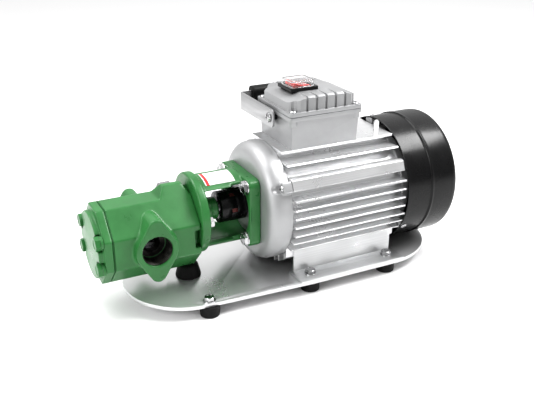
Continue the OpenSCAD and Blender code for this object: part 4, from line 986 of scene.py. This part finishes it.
class PUMP_OT_relief_spring(bpy.types.Operator):
    """Wind the relief valve's spring, which shortens as the valve lifts"""

    bl_idname = "pump.relief_spring"
    bl_label = "Relief Spring"

    def execute(self, context):
        wire, turns, end_turn, per_turn, sides, play = 0.00085, 5.5, 0.5, 40, 12, 0.00005
        low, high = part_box("relief_spring")
        middle, length = (low + high) / 2, high.y - low.y
        radius = (high.x - low.x) / 2 - wire
        steps = int(turns * per_turn)
        bm = bmesh.new()
        rows = []
        for i in range(steps + 1):
            angle = math.tau * i / per_turn
            out = Vector((math.cos(angle), 0, math.sin(angle)))
            level = min(1.0, max(0.0, (i / steps * turns - end_turn) / (turns - 2 * end_turn)))
            centre = Vector((middle.x, low.y + wire + (length - 2 * wire) * level, middle.z)) + out * radius
            rows.append([bm.verts.new(centre + out * wire * math.cos(b) + Vector((0, wire * math.sin(b), 0)))
                         for b in angles(sides)])
        for near, far in zip(rows, rows[1:]):
            bridge(bm, near, far)
        bm.faces.new(rows[0])
        bm.faces.new(rows[-1])
        spring = smooth_by_angle(outward("Relief_Spring", bm), 40)
        dressed("relief_spring", spring, look="spring_wire")
        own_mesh(spring)
        return {"FINISHED"}


class PUMP_OT_hex_bolts(bpy.types.Operator):
    """Set the hexagon bolts and their washers on the castings and the plate"""

    bl_idname = "pump.hex_bolts"
    bl_label = "Hexagon Bolts"

    def execute(self, context):
        # Name, nodes, low end, axis, whole height, flats, washer radius and height
        rows = (
            ("Cover_Bolts", ("cover_bolts",), True, 0, 0.0079, 0.013, 0.0072, 0.0026),
            ("Lantern_Bolts", ("lantern_bolts",), True, 0, 0.0053, 0.013, 0.0078, 0.0012),
            ("Flange_Bolts", ("pump_flange_bolts",), False, 0, 0.0052, 0.010, 0.0062, 0.0012),
            ("Foot_Bolts", ("foot_bolts", "foot_washers"), False, 2, 0.0052, 0.010, 0.0064, 0.0012))
        for name, nodes, low_end, axis, height, flats, w_radius, w_height in rows:
            slot_name = SLOT_OF[nodes[0]]
            material = finish_for(slot_name)
            piece = grown(
                name, hex_head_tree(), head_seats(nodes[0], low_end, axis, height), Across_Flats=flats,
                Head_Height=height - w_height, Washer_Radius=w_radius, Washer_Height=w_height, Material=material)
            keep(piece, FRAME, slot_name, material, *nodes)
        return {"FINISHED"}


class PUMP_OT_pan_screws(bpy.types.Operator):
    """Set the cross-recessed screws of the lid, the shields and the cowl"""

    bl_idname = "pump.pan_screws"
    bl_label = "Cross Screws"

    def execute(self, context):
        cowl_r, from_edge, head_height = 0.0724, 0.0036, 0.0024
        middle = Vector((0, SHAFT_Y, SHAFT_Z))
        cowl = []
        for point, _, spin in seats_of("cowl_screws", False, 0):
            out = ((point - middle) * Vector((0, 1, 1))).normalized()
            cowl.append((Vector((point.x - from_edge, 0, 0)) + middle + out * cowl_r, out, spin))
        for name, node, seats, height in (
                ("Lid_Screws", "lid_screws", head_seats("lid_screws", False, 2, head_height), head_height),
                ("Shield_Screws", "shield_screws", head_seats("shield_screws", True, 0, head_height), 0.0026),
                ("Cowl_Screws", "cowl_screws", cowl, 0.0016)):
            piece = grown(name, pan_head_tree(), seats, Head_Radius=0.0037, Head_Height=height, Slot_Width=0.0009,
                          Material=finish_for("zinc"))
            dressed(node, piece)
        return {"FINISHED"}


class PUMP_OT_cowl(bpy.types.Operator):
    """Make the drawn fan cowl with its step and its slotted rear"""

    bl_idname = "pump.cowl"
    bl_label = "Fan Cowl"

    def execute(self, context):
        low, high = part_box("fan_cowl")
        front, step, end = low.x, low.x + 0.031, high.x
        front_r, rear_r, slotted_r, hub_r = 0.0724, 0.0736, 0.058, 0.009
        wall, corner, lip, segments = 0.0014, 0.0115, 0.0006, 144
        slot_half, spokes_apart, spoke_half, flatness = 0.0025, 60, 0.0026, 1e-5
        side = rounded([(front, front_r), (step, front_r), (step + 0.0012, rear_r + lip), (step + 0.0036, rear_r),
                        (end, rear_r), (end, slotted_r)], corner, 7)
        profile = [(front, front_r - lip), (front + lip, front_r)] + [tuple(v) for v in side[1:]]
        slots = [(r - slot_half, r + slot_half) for r in (0.018, 0.027, 0.036, 0.045, 0.054)]
        radii = sorted({r for slot in slots for r in slot} | {slotted_r, hub_r}, reverse=True)
        profile += [(end, r) for r in radii[1:]] + [(end, 0.0)]
        obj = revolved("Fan_Cowl", profile, segments)
        bm = bmesh.new()
        bm.from_mesh(obj.data)
        doomed = []
        for face in bm.faces:
            middle = face.calc_center_median()
            r = math.hypot(middle.y - SHAFT_Y, middle.z - SHAFT_Z)
            if middle.x < end - flatness or not any(inner < r < outer for inner, outer in slots):
                continue
            a = math.degrees(math.atan2(middle.z - SHAFT_Z, middle.y - SHAFT_Y)) % spokes_apart
            if math.radians(min(a, spokes_apart - a)) * r > spoke_half:
                doomed.append(face)
        bmesh.ops.delete(bm, geom=doomed, context="FACES")
        bm.to_mesh(obj.data)
        bm.free()
        modified(obj, "SOLIDIFY", thickness=wall, offset=-1, use_even_offset=True)
        dressed("fan_cowl", smooth_by_angle(obj, 35))
        return {"FINISHED"}


class PUMP_OT_fan(bpy.types.Operator):
    """Make the moulded cooling fan with its bent blades"""

    bl_idname = "pump.fan"
    bl_label = "Cooling Fan"

    def execute(self, context):
        count, into_disc, shaft_r, rim_r = 8, 0.0035, 0.0076, 0.0595
        low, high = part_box("cooling_fan")
        black = finish_for("black_plastic")
        seats = [(Vector((low.x + into_disc, SHAFT_Y, SHAFT_Z)), Vector((1, 0, 0)), turn) for turn in angles(count)]
        blades = grown("Fan_Blades", fan_blade_tree(), seats, Outer_Radius=0.059, Inner_Radius=0.013,
                       Width=high.x - low.x - into_disc - 0.001, Material=black)
        keep(blades, SHAFT_LINE, "black_plastic", black)
        section = [(0.0, shaft_r), (0.0, 0.0145), (0.003, 0.0155), (0.003, rim_r), (0.005, rim_r), (0.0055, 0.0155),
                   (0.017, 0.0138), (0.017, shaft_r)]
        profile = [tuple(v) for v in rounded([(low.x + x, r) for x, r in section], 0.0006, 3)]
        hub = revolved("Fan_Hub", profile + [(low.x, shaft_r)], 96)
        dressed("cooling_fan", smooth_by_angle(hub, 40), body=SHAFT_LINE)
        return {"FINISHED"}


class PUMP_OT_label(bpy.types.Operator):
    """Lay the blank label with its red band round the lantern's barrel"""

    bl_idname = "pump.label"
    bl_label = "Lantern Label"

    def execute(self, context):
        radius, thickness = 0.04008, 0.00016
        start, length, columns = LANTERN_X + 0.0143, 0.0335, 40
        start_angle, arc, strips = 61, 34, 16
        turns = [math.radians(start_angle + arc * k / strips) for k in range(strips + 1)]
        bm = bmesh.new()
        rows = [[bm.verts.new((start + length * i / columns, SHAFT_Y - radius * math.cos(a),
                               SHAFT_Z + radius * math.sin(a))) for a in turns] for i in range(columns + 1)]
        for near, far in zip(rows, rows[1:]):
            for k in range(strips):
                bm.faces.new((near[k], far[k], far[k + 1], near[k + 1]))
        obj = outward("Lantern_Label", bm)
        if obj.data.polygons[0].normal.z < 0:
            obj.data.flip_normals()
        modified(obj, "SOLIDIFY", thickness=thickness, offset=1)
        film = label_film("Label_Film", band_start=LANTERN_X + 0.0153, band_end=LANTERN_X + 0.0187)
        keep(obj, FRAME, "pale_plastic", film)
        return {"FINISHED"}


class PUMP_OT_handle(bpy.types.Operator):
    """Make the bent steel handle, its rubber grip and its pivots"""

    bl_idname = "pump.handle"
    bl_label = "Handle"

    def execute(self, context):
        head_height, pin_r, body_r, face_r, rim_r = 0.003, 0.0031, 0.0038, 0.0049, 0.0052
        # The spacer's section, as (in from the screw's end, radius) points
        section = ((0.0054, pin_r), (0.0054, face_r), (0.0057, rim_r), (0.0076, rim_r), (0.0079, face_r),
                   (0.0079, body_r), (0.0108, body_r), (0.0108, pin_r), (0.0054, pin_r))
        dressed("handle_bail", bevel_copy("handle_bail", "Handle_Bail", 0.0004), body="handle", look="handle_strip")
        dressed("handle_grip", cast_copy("handle_grip", "Handle_Grip", 0.0011, 8), body="handle")
        low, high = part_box("handle_pivots")
        middle = (low + high) / 2
        screws = []
        for name, end, side in (("Handle_Spacer_Front", low.x, -1), ("Handle_Spacer_Rear", high.x, 1)):
            spacer = revolved(name, [(end - side * x, r) for x, r in section], 48, (middle.y, middle.z))
            keep(smooth_by_angle(spacer, 40), FRAME, "black_plastic", finish_for("black_plastic"))
            screws.append((Vector((end - side * head_height, middle.y, middle.z)), Vector((side, 0, 0)), 0.3))
        heads = grown("Handle_Screws", pan_head_tree(), screws, Head_Radius=0.0055, Head_Height=head_height,
                      Slot_Width=0.0013, Material=finish_for("zinc"))
        dressed("handle_pivots", heads)
        return {"FINISHED"}


class PUMP_OT_base(bpy.types.Operator):
    """Make the bright base plate, the angle brackets, the rubber feet and the pump's buffer"""

    bl_idname = "pump.base"
    bl_label = "Base"

    def execute(self, context):
        dressed("base_plate", bevel_copy("base_plate", "Base_Plate", 0.0006))
        dressed("foot_brackets", bevel_copy("foot_brackets", "Foot_Brackets", 0.0005), look="bracket_sheet")
        for node, name in (("rubber_feet", "Rubber_Feet"), ("pump_support", "Pump_Buffer")):
            dressed(node, bevel_copy(node, name, 0.0009, 3))
        return {"FINISHED"}


class PUMP_OT_switch(bpy.types.Operator):
    """Make the rocker switch: its frame, the red rocker and the clear splash cover"""

    bl_idname = "pump.switch"
    bl_label = "Switch"

    def execute(self, context):
        half_thick, stroke, outer_r, inner_r, sides = 0.00015, (0.0011, 0.0058), 0.0029, 0.0019, 40
        reach, rocker_top, tilt, slope = 0.006, 0.0034, math.radians(12), math.atan2(0.0018, 0.011)
        dressed("switch_frame", bevel_copy("switch_frame", "Switch_Frame", 0.0005))
        dressed("switch_rocker", bevel_copy("switch_rocker", "Switch_Rocker", 0.0005, 3), body="rocker")
        pivot = Vector(JOINTS["rocker_tilt"]["pos_m"])
        for name, side in (("Rocker_Mark_On", -1), ("Rocker_Mark_Off", 1)):
            bm = bmesh.new()
            if side < 0:
                bmesh.ops.create_cube(bm, size=1.0, matrix=Matrix.Diagonal((*stroke, 2 * half_thick, 1)))
            else:
                loops = [[bm.verts.new((r * math.cos(a), r * math.sin(a), z)) for a in angles(sides)]
                         for r, z in ((outer_r, -half_thick), (outer_r, half_thick), (inner_r, half_thick),
                                      (inner_r, -half_thick))]
                for near, far in zip(loops, loops[1:] + loops[:1]):
                    bridge(bm, near, far)
            seat = Vector((side * reach, 0, rocker_top + reach * math.tan(slope) + 0.00005))
            place_at = (Matrix.Translation(pivot) @ Matrix.Rotation(tilt, 4, "Y") @ Matrix.Translation(seat)
                        @ Matrix.Rotation(-side * slope, 4, "Y"))
            bmesh.ops.transform(bm, verts=bm.verts, matrix=place_at)
            keep(outward(name, bm, False), "rocker", "pale_plastic", finish_for("mark_white"))
        dressed("switch_boot", cast_copy("switch_boot", "Splash_Cover", 0.0005, 8))
        return {"FINISHED"}


class PUMP_OT_coupling(bpy.types.Operator):
    """Make the coupling's two cast hubs and its rubber star"""

    bl_idname = "pump.coupling"
    bl_label = "Coupling"

    def execute(self, context):
        for node, name in (("coupling_hub_pump", "Pump_Hub"), ("coupling_hub_motor", "Motor_Hub"),
                           ("coupling_spider", "Coupling_Star")):
            dressed(node, bevel_copy(node, name, 0.0006), body=SHAFT_LINE)
        return {"FINISHED"}


class PUMP_PT_panel(bpy.types.Panel):
    """Lists the pump's settings and pieces"""

    bl_idname = "PUMP_PT_panel"
    bl_label = "Fuel Transfer Pump"
    bl_space_type = "VIEW_3D"
    bl_region_type = "UI"
    bl_category = "Pump"

    def draw(self, context):
        layout = self.layout
        for key, group in GROUPS.items():
            box = layout.box()
            for setting in group.__annotations__:
                box.prop(getattr(context.scene, key), setting)
        for operator in OPERATORS:
            layout.operator(operator.bl_idname)


OPERATORS = (
    PUMP_OT_studio, PUMP_OT_finishes, PUMP_OT_castings, PUMP_OT_port_threads, PUMP_OT_motor_castings, PUMP_OT_box,
    PUMP_OT_fittings, PUMP_OT_relief_spring, PUMP_OT_hex_bolts, PUMP_OT_pan_screws, PUMP_OT_cowl, PUMP_OT_fan,
    PUMP_OT_label, PUMP_OT_handle, PUMP_OT_base, PUMP_OT_switch, PUMP_OT_coupling)
GROUPS = {"pump_look": PumpLook, "pump_casting": PumpCasting, "pump_studio": PumpStudio}


def register():
    for cls in (*GROUPS.values(), *OPERATORS, PUMP_PT_panel):
        bpy.utils.register_class(cls)
    for key, cls in GROUPS.items():
        setattr(bpy.types.Scene, key, PointerProperty(type=cls))


def unregister():
    for key in GROUPS:
        delattr(bpy.types.Scene, key)
    for cls in (PUMP_PT_panel, *reversed(OPERATORS), *GROUPS.values()):
        bpy.utils.unregister_class(cls)


def main():
    register()
    for operator in OPERATORS:
        area, name = operator.bl_idname.split(".")
        getattr(getattr(bpy.ops, area), name)()
    bpy.context.view_layer.update()


if __name__ == "__main__":
    main()
